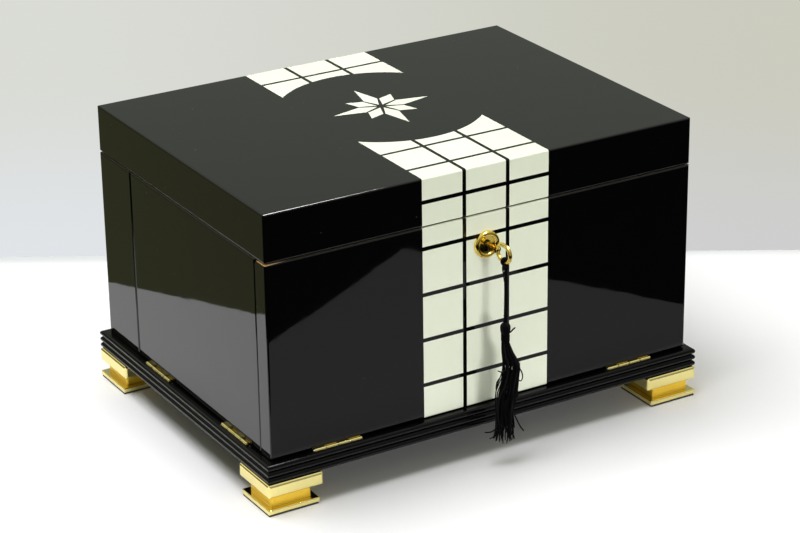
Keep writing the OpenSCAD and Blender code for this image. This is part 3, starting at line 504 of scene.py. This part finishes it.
def felt(colours, groups):
    """Pressed felt."""
    t = Finish("felt_finish")
    fuzz = t.noise(t.place(), 2200.0, 3.0, 0.7)
    return t.shade({
        "Base Color": t.mix(fuzz, colours.felt, 2.6 * colours.felt),
        "Roughness": 0.95,
        "Sheen Weight": 0.4,
        "Normal": t.bump(fuzz, 0.3 * MM),
    })


def thread(colours, groups):
    """Dull black thread, with a paler one here and there."""
    t = Finish("black_thread_finish")
    fibre = t.noise(t.stretched(t.place(), (2400.0, 2400.0, 700.0)), 1.0, 3.0, 0.6)
    # A few threads, chosen at random, get a paler colour: a painted glint
    glinting = t.between(t.add("NewGeometry").outputs["Random Per Island"], 0.84, 0.90)
    black = t.mix(fibre, colours.thread, 3.0 * colours.thread)
    return t.shade({
        "Base Color": t.mix(glinting, black, colours.thread_shine),
        "Roughness": t.between(fibre, 0.2, 0.8, 0.62, 0.8),
        "Specular IOR Level": 0.08,
        "Normal": t.bump(fibre, 0.12 * MM),
    })


def steel(colours, groups):
    """Brushed steel."""
    t = Finish("steel_finish")
    brushed = t.noise(t.stretched(t.place(), (90.0, 3000.0, 3000.0)), 1.0, 3.0)
    return t.shade({
        "Base Color": t.mix(brushed, colours.steel, 0.8 * colours.steel),
        "Metallic": 1.0,
        "Roughness": t.between(brushed, 0.2, 0.8, 0.24, 0.38),
        "Normal": t.bump(brushed, 0.02 * MM),
    })


def dial_paper(colours, groups):
    """Warm printed card."""
    t = Finish("dial_finish")
    fibre = t.noise(t.place(), 900.0, 4.0, 0.6)
    return t.shade({
        "Base Color": t.mix(fibre, colours.paper, 0.9 * colours.paper),
        "Roughness": 0.6,
        "Normal": t.bump(fibre, 0.02 * MM),
    })


def enamel(colours, groups):
    """Black enamel of the needle and the printed scale."""
    t = Finish("needle_finish")
    flow = t.noise(t.place(), 600.0, 2.0)
    return t.shade({
        "Base Color": t.mix(flow, colours.ink, 1.6 * colours.ink),
        "Roughness": t.between(flow, 0.2, 0.8, 0.25, 0.35),
    })


def glass(colours, groups):
    """Clear glass of the hygrometer."""
    t = Finish("glass_finish")
    polish = t.group(groups["polish"], {"Vector": t.place()})
    return t.shade({
        "Base Color": colours.glass,
        "Roughness": t.between(polish["Smear"], 0.0, 1.0, 0.01, 0.03),
        "IOR": 1.46,
        "Transmission Weight": 1.0,
    })


def plastic(colours, groups):
    """Moulded black plastic with a fine spark-eroded texture."""
    t = Finish("black_plastic_finish")
    texture = t.noise(t.place(), 1500.0, 2.0)
    return t.shade({
        "Base Color": t.mix(texture, colours.plastic, 1.8 * colours.plastic),
        "Roughness": t.between(texture, 0.2, 0.8, 0.42, 0.58),
        "Normal": t.bump(texture, 0.06 * MM),
    })


FINISHES = {
    "black_lacquer": lacquer,
    "ivory_inlay": ivory,
    "polished_gold": gold,
    "felt": felt,
    "steel": steel,
    "black_thread": thread,
    "dial": dial_paper,
    "needle": enamel,
    "glass": glass,
    "black_plastic": plastic,
}


def finish(slot):
    """The material that was made for a slot of the record."""
    return bpy.data.materials[slot + "_finish"]


def dress(node, material):
    """Give a CAD node its finish."""
    for holder in NODES[node].material_slots:
        holder.material = material


# Meshes

def smooth_line(points, per_span):
    """Points on a smooth curve through the given ones."""
    padded = [points[0] * 2 - points[1], *points, points[-1] * 2 - points[-2]]
    line = []
    for a, b, c, d in zip(padded, padded[1:], padded[2:], padded[3:]):
        for step in range(per_span):
            s = step / per_span
            line.append(0.5 * (2 * b + (c - a) * s + (2 * a - 5 * b + 4 * c - d) * s**2
                               + (3 * b - a - 3 * c + d) * s**3))
    return [*line, points[-1]]


def carried_frames(points):
    """A side and an up vector at each point of a line, carried along it without twist."""
    count = len(points)
    along = [(points[min(i + 1, count - 1)] - points[max(i - 1, 0)]).normalized() for i in range(count)]
    side = along[0].orthogonal().normalized()
    frames = []
    for direction in along:
        side = (side - direction * side.dot(direction)).normalized()
        frames.append((side, direction.cross(side)))
    return frames


def circle(steps):
    """The cosine and the sine of evenly spaced turns."""
    return [(math.cos(math.tau * k / steps), math.sin(math.tau * k / steps)) for k in range(steps)]


def skin(mesh, places, closed=False):
    """Faces between rings of places in a row, which is capped at its ends or closed on itself."""
    rings = [[mesh.verts.new(place) for place in ring] for ring in places]
    following = rings[1:] + (rings[:1] if closed else [])
    for here, there in zip(rings, following):
        for k in range(len(here)):
            after = (k + 1) % len(here)
            mesh.faces.new((here[k], here[after], there[after], there[k]))
    if not closed:
        mesh.faces.new(rings[0][::-1])
        mesh.faces.new(rings[-1])


def add_tube(mesh, points, radii, sides):
    """A round tube along a line, capped at its ends; radii has one radius per point."""
    skin(mesh, [
        [point + radius * (c * side + s * up) for c, s in circle(sides)]
        for point, radius, (side, up) in zip(points, radii, carried_frames(points))
    ])


def add_ring(mesh, centre, axis, radius, thickness, turns, sides):
    """A closed ring of thread round an axis."""
    first = axis.orthogonal().normalized()
    second = axis.cross(first)
    places = []
    for a, b in circle(turns):
        out = a * first + b * second
        places.append([
            centre + (radius + thickness * c) * out + thickness * s * axis for c, s in circle(sides)
        ])
    skin(mesh, places, closed=True)


def add_lathe(mesh, middle, profile, sides):
    """A closed solid of revolution about Z; profile lists (radius, z) from its top to its bottom."""
    skin(mesh, [[(middle.x + r * c, middle.y + r * s, z) for c, s in circle(sides)] for r, z in profile])


def add_block(mesh, centre, sides):
    """A closed block round a centre; sides holds its three half edges."""
    corners = {
        (a, b, c): mesh.verts.new(centre + a * sides[0] + b * sides[1] + c * sides[2])
        for a in (-1, 1) for b in (-1, 1) for c in (-1, 1)
    }
    for axis in range(3):
        for end in (-1, 1):
            loop = [(-1, -1), (1, -1), (1, 1), (-1, 1)]
            mesh.faces.new([corners[(*pair[:axis], end, *pair[axis:])] for pair in loop])


def add_screw(mesh, place, out, along, radius):
    """A low screw head, proud of the face that it holds down, with a straight slot."""
    across = out.cross(along)
    slot = 0.2 * radius
    rise = 0.13 * radius
    crown = 0.82
    steps = 10
    first = math.asin(slot / radius)
    for side in (1.0, -1.0):
        turns = [first + (math.pi - 2 * first) * k / steps for k in range(steps + 1)]
        low = [place + radius * (math.cos(a) * along + side * math.sin(a) * across) for a in turns]
        high = [
            place + rise * out + crown * radius * math.cos(a) * along
            + side * max(slot, crown * radius * math.sin(a)) * across
            for a in turns
        ]
        low, high = ([mesh.verts.new(p) for p in ring] for ring in (low, high))
        for k in range(steps):
            mesh.faces.new((low[k], low[k + 1], high[k + 1], high[k]))
        mesh.faces.new((low[-1], low[0], high[0], high[-1]))
        mesh.faces.new(high)
        mesh.faces.new(low[::-1])
    add_block(mesh, place + 0.1 * rise * out, (0.96 * radius * along, slot * across, 0.1 * rise * out))


def solid_boxes(node):
    """The lowest and highest corners of each separate solid of a CAD node."""
    mesh = bmesh.new()
    mesh.from_mesh(NODES[node].data)
    bmesh.ops.remove_doubles(mesh, verts=mesh.verts, dist=0.001 * MM)
    left = set(mesh.verts)
    boxes = []
    while left:
        edge = [left.pop()]
        places = []
        while edge:
            vert = edge.pop()
            places.append(vert.co)
            joined = {link.other_vert(vert) for link in vert.link_edges} & left
            left -= joined
            edge.extend(joined)
        boxes.append((Vector(map(min, zip(*places))), Vector(map(max, zip(*places)))))
    mesh.free()
    return boxes


def new_piece(name, mesh, body, slot, smooth=True):
    """Turn a built mesh into a piece that rides on a body."""
    data = bpy.data.meshes.new(name)
    bmesh.ops.recalc_face_normals(mesh, faces=mesh.faces)
    mesh.to_mesh(data)
    mesh.free()
    data.polygons.foreach_set("use_smooth", [smooth] * len(data.polygons))
    data.materials.append(finish(slot))
    piece = bpy.data.objects.new(name, data)
    bpy.context.scene.collection.objects.link(piece)
    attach(piece, body)
    return piece


# Camera and stage

def view_axes(stage):
    """Right, up and back vectors of the photograph's view."""
    az, el, roll = stage.azimuth, stage.elevation, stage.roll
    back = Vector((math.sin(az) * math.cos(el), -math.cos(az) * math.cos(el), math.sin(el)))
    right = turned(az)
    up = back.cross(right)
    return (
        math.cos(roll) * right + math.sin(roll) * up,
        math.cos(roll) * up - math.sin(roll) * right,
        back,
    )


class HUMIDOR_OT_camera(bpy.types.Operator):
    """Place the camera at the photograph's viewing angle"""

    bl_idname = "humidor.camera"
    bl_label = "Camera"

    def execute(self, context):
        stage = context.scene.humidor_stage
        data = bpy.data.cameras.new("view_camera")
        data.lens = stage.camera_lens
        data.sensor_width = 36.0
        data.sensor_fit = "HORIZONTAL"
        camera = bpy.data.objects.new("view_camera", data)
        turn = Matrix(view_axes(stage)).transposed().to_4x4()
        camera.matrix_world = Matrix.Translation(stage.camera_place) @ turn
        context.scene.collection.objects.link(camera)
        context.scene.camera = camera
        return {"FINISHED"}


class HUMIDOR_OT_finishes(bpy.types.Operator):
    """Make the materials and put them on the CAD nodes"""

    bl_idname = "humidor.finishes"
    bl_label = "Finishes"

    def execute(self, context):
        colours = context.scene.humidor_finishes
        groups = {
            "polish": polish_group(), "dust": dust_group(), "grain": grain_group(), "tile": tile_group(),
        }
        slots = {slot: make(colours, groups) for slot, make in FINISHES.items()}
        boards = [cedar(colours, groups, axis) for axis in range(3)]
        special = dict.fromkeys(RICH_GOLD, rich_gold(colours, groups))
        special.update(dict.fromkeys(REEDED, lacquer(colours, groups, "reed_lacquer_finish", REED_GLOSS)))
        for node, piece in NODES.items():
            slot = piece.material_slots[0].material.name
            if slot == "cedar":
                dress(node, boards[(node in GRAIN_ALONG_Y) + 2 * (node in GRAIN_ALONG_Z)])
            else:
                dress(node, special.get(node, slots[slot]))
        return {"FINISHED"}


def cord_line(tassel):
    """The cord's centreline, from the bow down to the tassel's head."""
    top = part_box("tassel_cord")[1].z
    y = centre_of("tassel_cord").y
    route = [Vector((x, y, top - share * tassel.cord_length)) for x, share in CORD_ROUTE]
    return smooth_line(route, 6)


class HUMIDOR_OT_cord(bpy.types.Operator):
    """Twist the tassel's cord from its strands"""

    bl_idname = "humidor.cord"
    bl_label = "Tassel cord"

    # Radius of a strand, as a share of the cord's
    STRAND = 0.48

    def execute(self, context):
        tassel = context.scene.humidor_tassel
        line = cord_line(tassel)
        fine = smooth_line(line, 3)
        outer = tassel.cord_diameter / 2
        strand = outer * self.STRAND
        mesh = bmesh.new()
        for k in range(tassel.strands):
            points = []
            for point, (side, up) in zip(fine, carried_frames(fine)):
                turn = math.tau * ((line[0].z - point.z) / tassel.twist_pitch + k / tassel.strands)
                points.append(point + (outer - strand) * (math.cos(turn) * side + math.sin(turn) * up))
            add_tube(mesh, points, [strand] * len(points), 8)
        piece = new_piece("cord", mesh, "tassel", "black_thread")
        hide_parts("tassel_cord")
        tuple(line[0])
        return {"FINISHED"}


def level(share, table):
    """Straight-line reading of a short table of (share, value) pairs."""
    for (a, low), (b, high) in zip(table, table[1:]):
        if share <= b:
            return low + (high - low) * (share - a) / (b - a)
    return table[-1][1]


class HUMIDOR_OT_loop(bpy.types.Operator):
    """Loop the cord round the key's bow and bind it below"""

    bl_idname = "humidor.loop"
    bl_label = "Tassel loop"

    # Rings round the bow: shift along Y, lean, and slack round the wire; shift and slack in thread radii
    RINGS = ((0.6, 0.12, 1.2), (2.8, -0.10, 1.5))
    # Lean of each turn of the binding
    BINDING = (0.10, -0.14, 0.08)
    # Ends laid along the cord: the turn of each, and its distance from the cord and drop in millimetres
    ENDS = (0.4, 2.5, 4.6)
    END_LINE = ((1.9, 1.2), (2.2, 4.0), (1.7, 8.5), (1.1, 15.0))
    # Loose end of the binding, in millimetres from the cord's top
    LOOSE = ((-1.2, -1.0, -2.0), (-2.6, -1.4, -2.6), (-3.4, -1.8, -4.2))

    def execute(self, context):
        tassel = context.scene.humidor_tassel
        top = cord_line(tassel)[0]
        low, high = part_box("key")
        wire = (high.z - low.z) / 2 - tassel.bow_radius
        thick = tassel.loop_thread / 2
        hang = Vector((top.x, top.y, low.z + wire))
        mesh = bmesh.new()
        for aside, lean, slack in self.RINGS:
            axis = Vector((lean, 1.0, 0.0)).normalized()
            centre = hang + Vector((0.0, aside * thick, 0.0))
            add_ring(mesh, centre, axis, wire + slack * thick, thick, 24, 8)
        for turn, lean in enumerate(self.BINDING):
            axis = Vector((lean, -lean, 1.0)).normalized()
            centre = top + Vector((0.0, 0.0, -(0.4 + 1.5 * turn) * thick))
            add_ring(mesh, centre, axis, tassel.cord_diameter / 2 + 0.4 * thick, 0.9 * thick, 18, 7)
        for turn in self.ENDS:
            line = smooth_line([top + MM * turned(turn, reach, -drop) for reach, drop in self.END_LINE], 4)
            add_tube(mesh, line, [thick * (1.15 - 0.85 * k / len(line)) for k in range(len(line))], 8)
        line = smooth_line([top + Vector(place) * MM for place in self.LOOSE], 3)
        add_tube(mesh, line, [0.6 * thick] * len(line), 6)
        new_piece("tassel_loop", mesh, "tassel", "black_thread")
        return {"FINISHED"}


class HUMIDOR_OT_head(bpy.types.Operator):
    """Lay the threads over the tassel's head and wrap its neck"""

    bl_idname = "humidor.head"
    bl_label = "Tassel head"

    # Outline of the head: share of the way down to the neck, and share of the radius
    SHAPE = ((0.0, 0.25), (0.12, 0.66), (0.34, 0.90), (0.62, 0.92), (0.88, 0.80), (1.0, 0.74))
    # End of the binding thread: shares of the radius to the view's right, and millimetres over the neck
    STRAY = ((0.6, 0.4), (0.98, 1.6), (1.3, 3.4), (1.75, 5.2))

    def execute(self, context):
        tassel = context.scene.humidor_tassel
        draw = random.Random(tassel.seed)
        low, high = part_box("tassel_head")
        middle = Vector((*centre_of("tassel_head").xy, 0.0))
        radius = (high.x - low.x) / 2
        neck = low.z + tassel.wrap_height
        thick = tassel.head_thread / 2
        top = high.z - thick
        drop = high.z - neck - thick
        mesh = bmesh.new()
        core = [((radius - 1.6 * thick) * r, top - share * drop) for share, r in self.SHAPE]
        add_lathe(mesh, middle, [*core, (0.6 * radius, low.z)], 20)
        for k in range(tassel.head_threads):
            start = math.tau * (k + draw.uniform(-0.25, 0.25)) / tassel.head_threads
            points = []
            for share, r in self.SHAPE:
                turn = start + 0.5 * share
                reach = (radius - thick) * r * draw.uniform(0.95, 1.0)
                points.append(middle + turned(turn, reach, top - share * drop))
            line = smooth_line(points, 3)
            add_tube(mesh, line, [thick] * len(line), 6)
        self.wrap(mesh, tassel, middle, low.z, neck, draw)
        self.stray(mesh, context.scene.humidor_stage, middle, neck, radius, thick)
        piece = new_piece("tassel_head_threads", mesh, "tassel", "black_thread")
        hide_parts("tassel_head")
        return {"FINISHED"}

    def wrap(self, mesh, tassel, middle, low, high, draw):
        """Turns of thread round the neck."""
        thick = (high - low) / tassel.wrap_turns / 2
        per_turn = 18
        steps = tassel.wrap_turns * per_turn
        points = []
        for k in range(steps + 1):
            turn = math.tau * k / per_turn
            reach = tassel.wrap_radius - thick + draw.uniform(-0.04, 0.04) * MM
            z = high - thick - (high - low - 2 * thick) * k / steps
            points.append(middle + turned(turn, reach, z))
        add_tube(mesh, points, [1.05 * thick] * len(points), 6)

    def stray(self, mesh, stage, middle, neck, radius, thick):
        """The end of the binding thread, which stands off to the view's right."""
        right = view_axes(stage)[0]
        foot = middle + Vector((0.0, 0.0, neck))
        points = [foot + right * radius * out + Vector((0.0, 0.0, up * MM)) for out, up in self.STRAY]
        line = smooth_line(points, 3)
        add_tube(mesh, line, [1.1 * thick] * (len(line) - 1) + [0.6 * thick], 6)


class HUMIDOR_OT_skirt(bpy.types.Operator):
    """Hang the threads of the tassel's skirt, with their loops, strays and ragged ends"""

    bl_idname = "humidor.skirt"
    bl_label = "Tassel skirt"

    # Reach of the bundle, and its lean to the view's right, in millimetres down the skirt's length
    SPREAD = (
        (0.0, 2.8), (0.1, 4.6), (0.23, 7.2), (0.38, 7.2), (0.54, 8.2), (0.7, 7.4), (0.85, 8.2), (1.0, 9.2),
    )
    LEAN = (
        (0.0, 0.0), (0.1, 1.6), (0.23, 5.3), (0.38, 3.6), (0.54, 1.0), (0.7, -0.4), (0.85, 0.0), (1.0, 0.2),
    )
    # Depth of the bundle towards the view, as a share of its width
    DEPTH = 0.72
    # Threads that leave the bundle: steps to the view's right in millimetres, and shares of the length
    STRAYS = (
        [(-0.5, 0.18), (-3.2, 0.31), (-6.8, 0.44), (-8.0, 0.57), (-7.2, 0.71), (-5.0, 0.84), (-4.6, 0.96)],
        [(-0.5, 0.20), (-2.6, 0.33), (-5.6, 0.42), (-7.4, 0.47), (-7.0, 0.40), (-4.0, 0.34)],
        [(1.0, 0.26), (-2.4, 0.288), (-4.4, 0.285), (-6.2, 0.276)],
        [(9.6, 0.22), (12.8, 0.28), (13.8, 0.335), (12.4, 0.375), (10.0, 0.36)],
        [(6.8, 0.50), (9.4, 0.465), (10.2, 0.505), (8.8, 0.54), (6.6, 0.52)],
        [(7.0, 0.70), (9.6, 0.77), (12.2, 0.83), (15.0, 0.875)],
        [(-4.0, 0.80), (-8.5, 0.855), (-12.5, 0.88), (-17.0, 0.882)],
        [(-3.0, 0.84), (-8.0, 0.91), (-13.0, 0.945)],
    )

    def execute(self, context):
        tassel = context.scene.humidor_tassel
        draw = random.Random(tassel.seed + 1)
        self.low, self.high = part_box("tassel_skirt")
        right, _, back = view_axes(context.scene.humidor_stage)
        self.right = Vector((right.x, right.y, 0.0)).normalized()
        self.near = Vector((back.x, back.y, 0.0)).normalized()
        thick = tassel.thread_diameter / 2
        mesh = bmesh.new()
        for _ in range(tassel.threads):
            self.hang(mesh, draw, thick)
        for k, route in enumerate(self.STRAYS):
            points = [self.at(share, aside, 2.0 + 0.6 * k) for aside, share in route]
            line = smooth_line(points, 4)
            add_tube(mesh, line, [0.9 * thick] * (len(line) - 1) + [0.5 * thick], 6)
        piece = new_piece("tassel_skirt_threads", mesh, "tassel", "black_thread")
        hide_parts("tassel_skirt")
        return {"FINISHED"}

    def at(self, share, aside, nearer):
        """A place at a share of the skirt's length, millimetres to the view's right and nearer to it."""
        middle = (self.low + self.high) / 2
        z = self.high.z - share * (self.high.z - self.low.z)
        return Vector((middle.x, middle.y, z)) + MM * (aside * self.right + nearer * self.near)

    def hang(self, mesh, draw, thick):
        """One thread from the neck to its ragged end."""
        turn, reach = draw.uniform(0.0, math.tau), math.sqrt(draw.random())
        length = 1.0 - 0.16 * draw.random() ** 2
        wave, phase, sway = draw.uniform(1.2, 4.2), draw.uniform(0.0, math.tau), draw.uniform(0.4, 1.7)
        drift, splay, steps = draw.uniform(-1.1, 1.1), draw.uniform(-3.0, 2.0), 16
        points = []
        for k in range(steps):
            share = length * k / (steps - 1)
            out = reach * level(share, self.SPREAD)
            angle = turn + drift * share
            swing = sway * min(1.0, 2.5 * share) * math.sin(math.tau * wave * share + phase)
            flare = splay * max(0.0, share - 0.8) / 0.2
            aside = level(share, self.LEAN) + out * math.cos(angle) - swing * math.sin(turn) + flare
            nearer = self.DEPTH * (out * math.sin(angle) + swing * math.cos(turn))
            points.append(self.at(share, aside, nearer))
        line = smooth_line(points, 2)
        add_tube(mesh, line, [thick] * (len(line) - 1) + [0.6 * thick], 6)


class HUMIDOR_OT_screws(bpy.types.Operator):
    """Drive three screws into each leaf of the hinges"""

    bl_idname = "humidor.screws"
    bl_label = "Hinge screws"

    # Place of the screws across a leaf, as a share of its reach from the hinge's axis
    ACROSS = 0.57

    def execute(self, context):
        trim = context.scene.humidor_trim
        draw = random.Random(trim.screw_seed)
        hinges = [joint for joint in frame["joints"] if joint["name"] in LEAVES]
        front = next(joint for joint in hinges if joint["name"] == "front_flap_hinge")
        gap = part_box("front_panel")[0].z - front["pos_m"][2]
        fixed = bmesh.new()
        for joint in hinges:
            moving = bmesh.new()
            for place in self.places(joint, trim.screw_spacing):
                for mesh, out in ((fixed, Vector((0.0, 0.0, 1.0))), (moving, Vector((0.0, 0.0, -1.0)))):
                    turn = draw.uniform(0.0, math.pi)
                    add_screw(mesh, place - gap * out, out, turned(turn), trim.screw_diameter / 2)
            self.keep(joint["child"], moving)
        self.keep("case", fixed)
        return {"FINISHED"}

    def places(self, joint, spacing):
        """Screw places midway in the hinge's gap, three to each pair of leaves."""
        axis = Vector(joint["pos_m"])
        along = 0 if abs(joint["axis"][0]) > 0.5 else 1
        across = 1 - along
        # In order along the axis, so that each screw gets the same draw in every run
        leaves = sorted(solid_boxes(LEAVES[joint["name"]]), key=lambda box: box[0][along])
        for low, high in leaves:
            far = max(low[across], high[across], key=lambda edge: abs(edge - axis[across]))
            for step in (-spacing, 0.0, spacing):
                place = axis.copy()
                place[along] = (low[along] + high[along]) / 2 + step * (high[along] - low[along])
                place[across] += self.ACROSS * (far - axis[across])
                yield place

    def keep(self, body, mesh):
        """Make a piece of one body's screws."""
        new_piece(body + "_hinge_screws", mesh, body, "polished_gold", smooth=False)


class HUMIDOR_OT_dial(bpy.types.Operator):
    """Print the scale and its numbers on the hygrometer's dial"""

    bl_idname = "humidor.dial"
    bl_label = "Hygrometer scale"

    # Outer ends of the lines and the ring of numbers, as shares of the dial's radius
    LINES_AT = 0.93
    NUMBERS_AT = 0.66
    # Length, as a share of the dial's radius, and width in millimetres of each fifth line and of the others
    MAIN_LINE = (0.13, 0.5)
    FINE_LINE = (0.07, 0.22)

    def execute(self, context):
        self.trim = context.scene.humidor_trim
        low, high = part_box("hygrometer_dial")
        self.middle = (low + high) / 2
        self.middle.z = high.z - self.trim.dial_thickness - self.trim.print_thickness
        radius = (high.x - low.x) / 2
        mesh = bmesh.new()
        for step in range(self.trim.dial_steps + 1):
            share = step / self.trim.dial_steps
            length, width = self.FINE_LINE if step % 5 else self.MAIN_LINE
            self.tick(mesh, share, self.LINES_AT * radius, length * radius, width)
        for number in range(0, 101, 20):
            self.number(mesh, number, self.NUMBERS_AT * radius)
        new_piece("dial_scale", mesh, "lid", "needle", smooth=False)
        return {"FINISHED"}

    def out(self, share):
        """Direction of a share of the scale, read with the lid open."""
        angle = self.trim.dial_sweep * (2 * share - 1)
        return Vector((math.sin(angle), -math.cos(angle), 0.0))

    def tick(self, mesh, share, outer, length, width):
        """One printed line, its width in millimetres."""
        out = self.out(share)
        across = Vector((-out.y, out.x, 0.0))
        depth = Vector((0.0, 0.0, self.trim.print_thickness))
        place = self.middle + (outer - length / 2) * out
        add_block(mesh, place, (length / 2 * out, width * MM / 2 * across, depth))

    def number(self, mesh, value, reach):
        """One printed number, upright to a reader in front of the open lid."""
        letters = bpy.data.curves.new("scale_number", "FONT")
        letters.body = str(value)
        letters.size = self.trim.number_size
        letters.extrude = self.trim.print_thickness
        letters.align_x = "CENTER"
        letters.align_y = "CENTER"
        holder = bpy.data.objects.new("scale_number", letters)
        data = bpy.data.meshes.new_from_object(holder)
        place = self.middle + reach * self.out(value / 100)
        data.transform(Matrix.Translation(place) @ Matrix.Rotation(math.pi, 4, "X"))
        mesh.from_mesh(data)
        bpy.data.objects.remove(holder)
        bpy.data.curves.remove(letters)
        bpy.data.meshes.remove(data)


class HUMIDOR_OT_stage(bpy.types.Operator):
    """Set the table, the backdrop and the lights"""

    bl_idname = "humidor.stage"
    bl_label = "Stage"

    # Softboxes: place, width and height, and whether each only glints in what shines or only lights the rest
    SOFTBOXES = {
        "key": ((-0.4126, 0.1272, 2.2), (1.5, 1.5), False),
        "fill": ((0.05, -1.8, 0.25), (0.38, 0.38), False),
        "rim": ((0.53, -0.2, 2.2), (1.2, 0.45), True),
    }
    # The middle of the humidor, which the softboxes face
    AIM = Vector((0.0, 0.0, 0.12))
    # Where the table's far edge starts and ends to fade, from its back
    FAR_FADE = (-0.016, 0.008)
    # Where the table's front starts and ends to dim in what shines, along Y, and the share that is left there
    DIM_ALONG = (-0.215, -0.238)
    DIM = 0.38
    # Studio that shows in what shines
    REAR_LEFT = (0.17, 0.18, 0.09)
    REAR_RIGHT = (0.32, 0.34, 0.29)
    FRONT_LOW = (0.0008, 0.0008, 0.0008)
    FRONT_HIGH = (0.30, 0.29, 0.26)
    LEFT_CARD = (1.0, 0.98, 0.90)
    CEILING = (0.75, 0.75, 0.73)

    def execute(self, context):
        stage = context.scene.humidor_stage
        right = turned(stage.azimuth)
        away = Vector((-right.y, right.x, 0.0))
        self.table(context, stage, right, away)
        self.backdrop(context, stage, right, away)
        powers = {"key": stage.key_power, "fill": stage.fill_power, "rim": stage.rim_power}
        for name, (place, sizes, shines) in self.SOFTBOXES.items():
            self.softbox(context, name + "_softbox", Vector(place), sizes, powers[name], shines)
        context.scene.view_settings.view_transform = "Standard"
        return {"FINISHED"}

    def table(self, context, stage, right, away):
        """A white table top, in line with the view."""
        mesh = bmesh.new()
        corners = [
            (-stage.table_left, -stage.table_front), (stage.table_right, -stage.table_front),
            (stage.table_right, stage.table_back), (-stage.table_left, stage.table_back + stage.table_skew),
        ]
        mesh.faces.new([mesh.verts.new(u * right + v * away) for u, v in corners])
        data = bpy.data.meshes.new("table_top")
        mesh.to_mesh(data)
        mesh.free()
        t = Finish("table_white")
        place = t.place()
        tooth = t.noise(place, 400.0, 3.0)
        white = t.mix(tooth, stage.table, 0.98 * stage.table)
        far = t.between(t.dot(place, away), *(stage.table_back + step for step in self.FAR_FADE))
        white = t.mix(far, white, 0.8 * stage.low_left)
        ahead = t.between(t.axes(place)[1], *self.DIM_ALONG)
        shone = t.times(ahead, t.add("LightPath").outputs["Is Glossy Ray"])
        data.materials.append(t.shade({
            "Base Color": t.mix(shone, white, self.DIM * stage.table),
            "Roughness": 0.8,
            "Specular IOR Level": 0.1,
        }))
        table = bpy.data.objects.new("table_top", data)
        context.scene.collection.objects.link(table)

    def backdrop(self, context, stage, right, away):
        """A world that is a plain pale backdrop to the eye, and a studio to what shines."""
        world = bpy.data.worlds.new("studio")
        context.scene.world = world
        world.use_nodes = True
        t = Tree(world.node_tree)
        t.tree.nodes.clear()
        look = t.add("TexCoord").outputs["Generated"]
        sideways = t.dot(look, right)
        height = t.axes(look)[2]
        rear = t.mix(t.between(sideways, -0.65, -0.25), self.REAR_LEFT, self.REAR_RIGHT)
        behind = t.times(t.between(t.dot(look, away), -0.1, 0.3), t.between(sideways, 0.35, 0.6, 1.0, 0.0))
        front = t.mix(t.between(height, -0.2, 0.1), self.FRONT_LOW, self.FRONT_HIGH)
        studio = t.mix(behind, front, rear)
        card = t.times(t.between(sideways, -0.5, -0.65), t.between(height, 0.40, 0.46))
        studio = t.mix(card, studio, self.LEFT_CARD)
        studio = t.mix(t.between(height, 0.45, 0.8), studio, self.CEILING)
        side = t.between(sideways, -0.14, 0.14)
        upper = t.mix(side, stage.wall_left, stage.wall_right)
        lower = t.mix(side, stage.low_left, stage.low_right)
        wall = t.mix(t.between(height, -0.385, -0.32), lower, upper)
        rays = t.add("LightPath").outputs
        shone = t.mix(rays["Is Glossy Ray"], stage.ambient, studio)
        colour = t.mix(rays["Is Camera Ray"], shone, wall)
        background = t.add("Background", {"Color": colour, "Strength": 1.0}).outputs[0]
        t.feed(t.add("OutputWorld").inputs["Surface"], background)

    def softbox(self, context, name, place, sizes, power, shines):
        """A soft light aimed at the humidor, which lights what is matt or else glints in what shines."""
        data = bpy.data.lights.new(name, "AREA")
        data.shape = "RECTANGLE"
        data.size, data.size_y = sizes
        data.energy = power
        light = bpy.data.objects.new(name, data)
        light.location = place
        light.visible_glossy = shines
        light.visible_diffuse = not shines
        light.rotation_euler = (self.AIM - place).to_track_quat("-Z", "Y").to_euler()
        context.scene.collection.objects.link(light)


class HUMIDOR_PT_panel(bpy.types.Panel):
    """The humidor's steps and settings"""

    bl_idname = "HUMIDOR_PT_panel"
    bl_label = "Cigar Humidor"
    bl_space_type = "VIEW_3D"
    bl_region_type = "UI"
    bl_category = "Humidor"

    def draw(self, context):
        for step in STEPS:
            self.layout.operator(step.bl_idname)
        for name, group in SETTINGS.items():
            column = self.layout.column(heading=group.__doc__)
            settings = getattr(context.scene, name)
            for size in group.__annotations__:
                column.prop(settings, size)


STEPS = (
    HUMIDOR_OT_camera,
    HUMIDOR_OT_finishes,
    HUMIDOR_OT_loop,
    HUMIDOR_OT_head,
    HUMIDOR_OT_skirt,
    HUMIDOR_OT_cord,
    HUMIDOR_OT_screws,
    HUMIDOR_OT_dial,
    HUMIDOR_OT_stage,
)


def register():
    for made in (*SETTINGS.values(), *STEPS, HUMIDOR_PT_panel):
        bpy.utils.register_class(made)
    for name, group in SETTINGS.items():
        setattr(bpy.types.Scene, name, PointerProperty(type=group))


def unregister():
    for name in SETTINGS:
        delattr(bpy.types.Scene, name)
    for made in reversed((*SETTINGS.values(), *STEPS, HUMIDOR_PT_panel)):
        bpy.utils.unregister_class(made)


def main():
    register()
    bpy.ops.humidor.camera()
    bpy.ops.humidor.finishes()
    bpy.ops.humidor.loop()
    bpy.ops.humidor.head()
    bpy.ops.humidor.skirt()
    bpy.ops.humidor.cord()
    bpy.ops.humidor.screws()
    bpy.ops.humidor.dial()
    bpy.ops.humidor.stage()


if __name__ == "__main__":
    main()
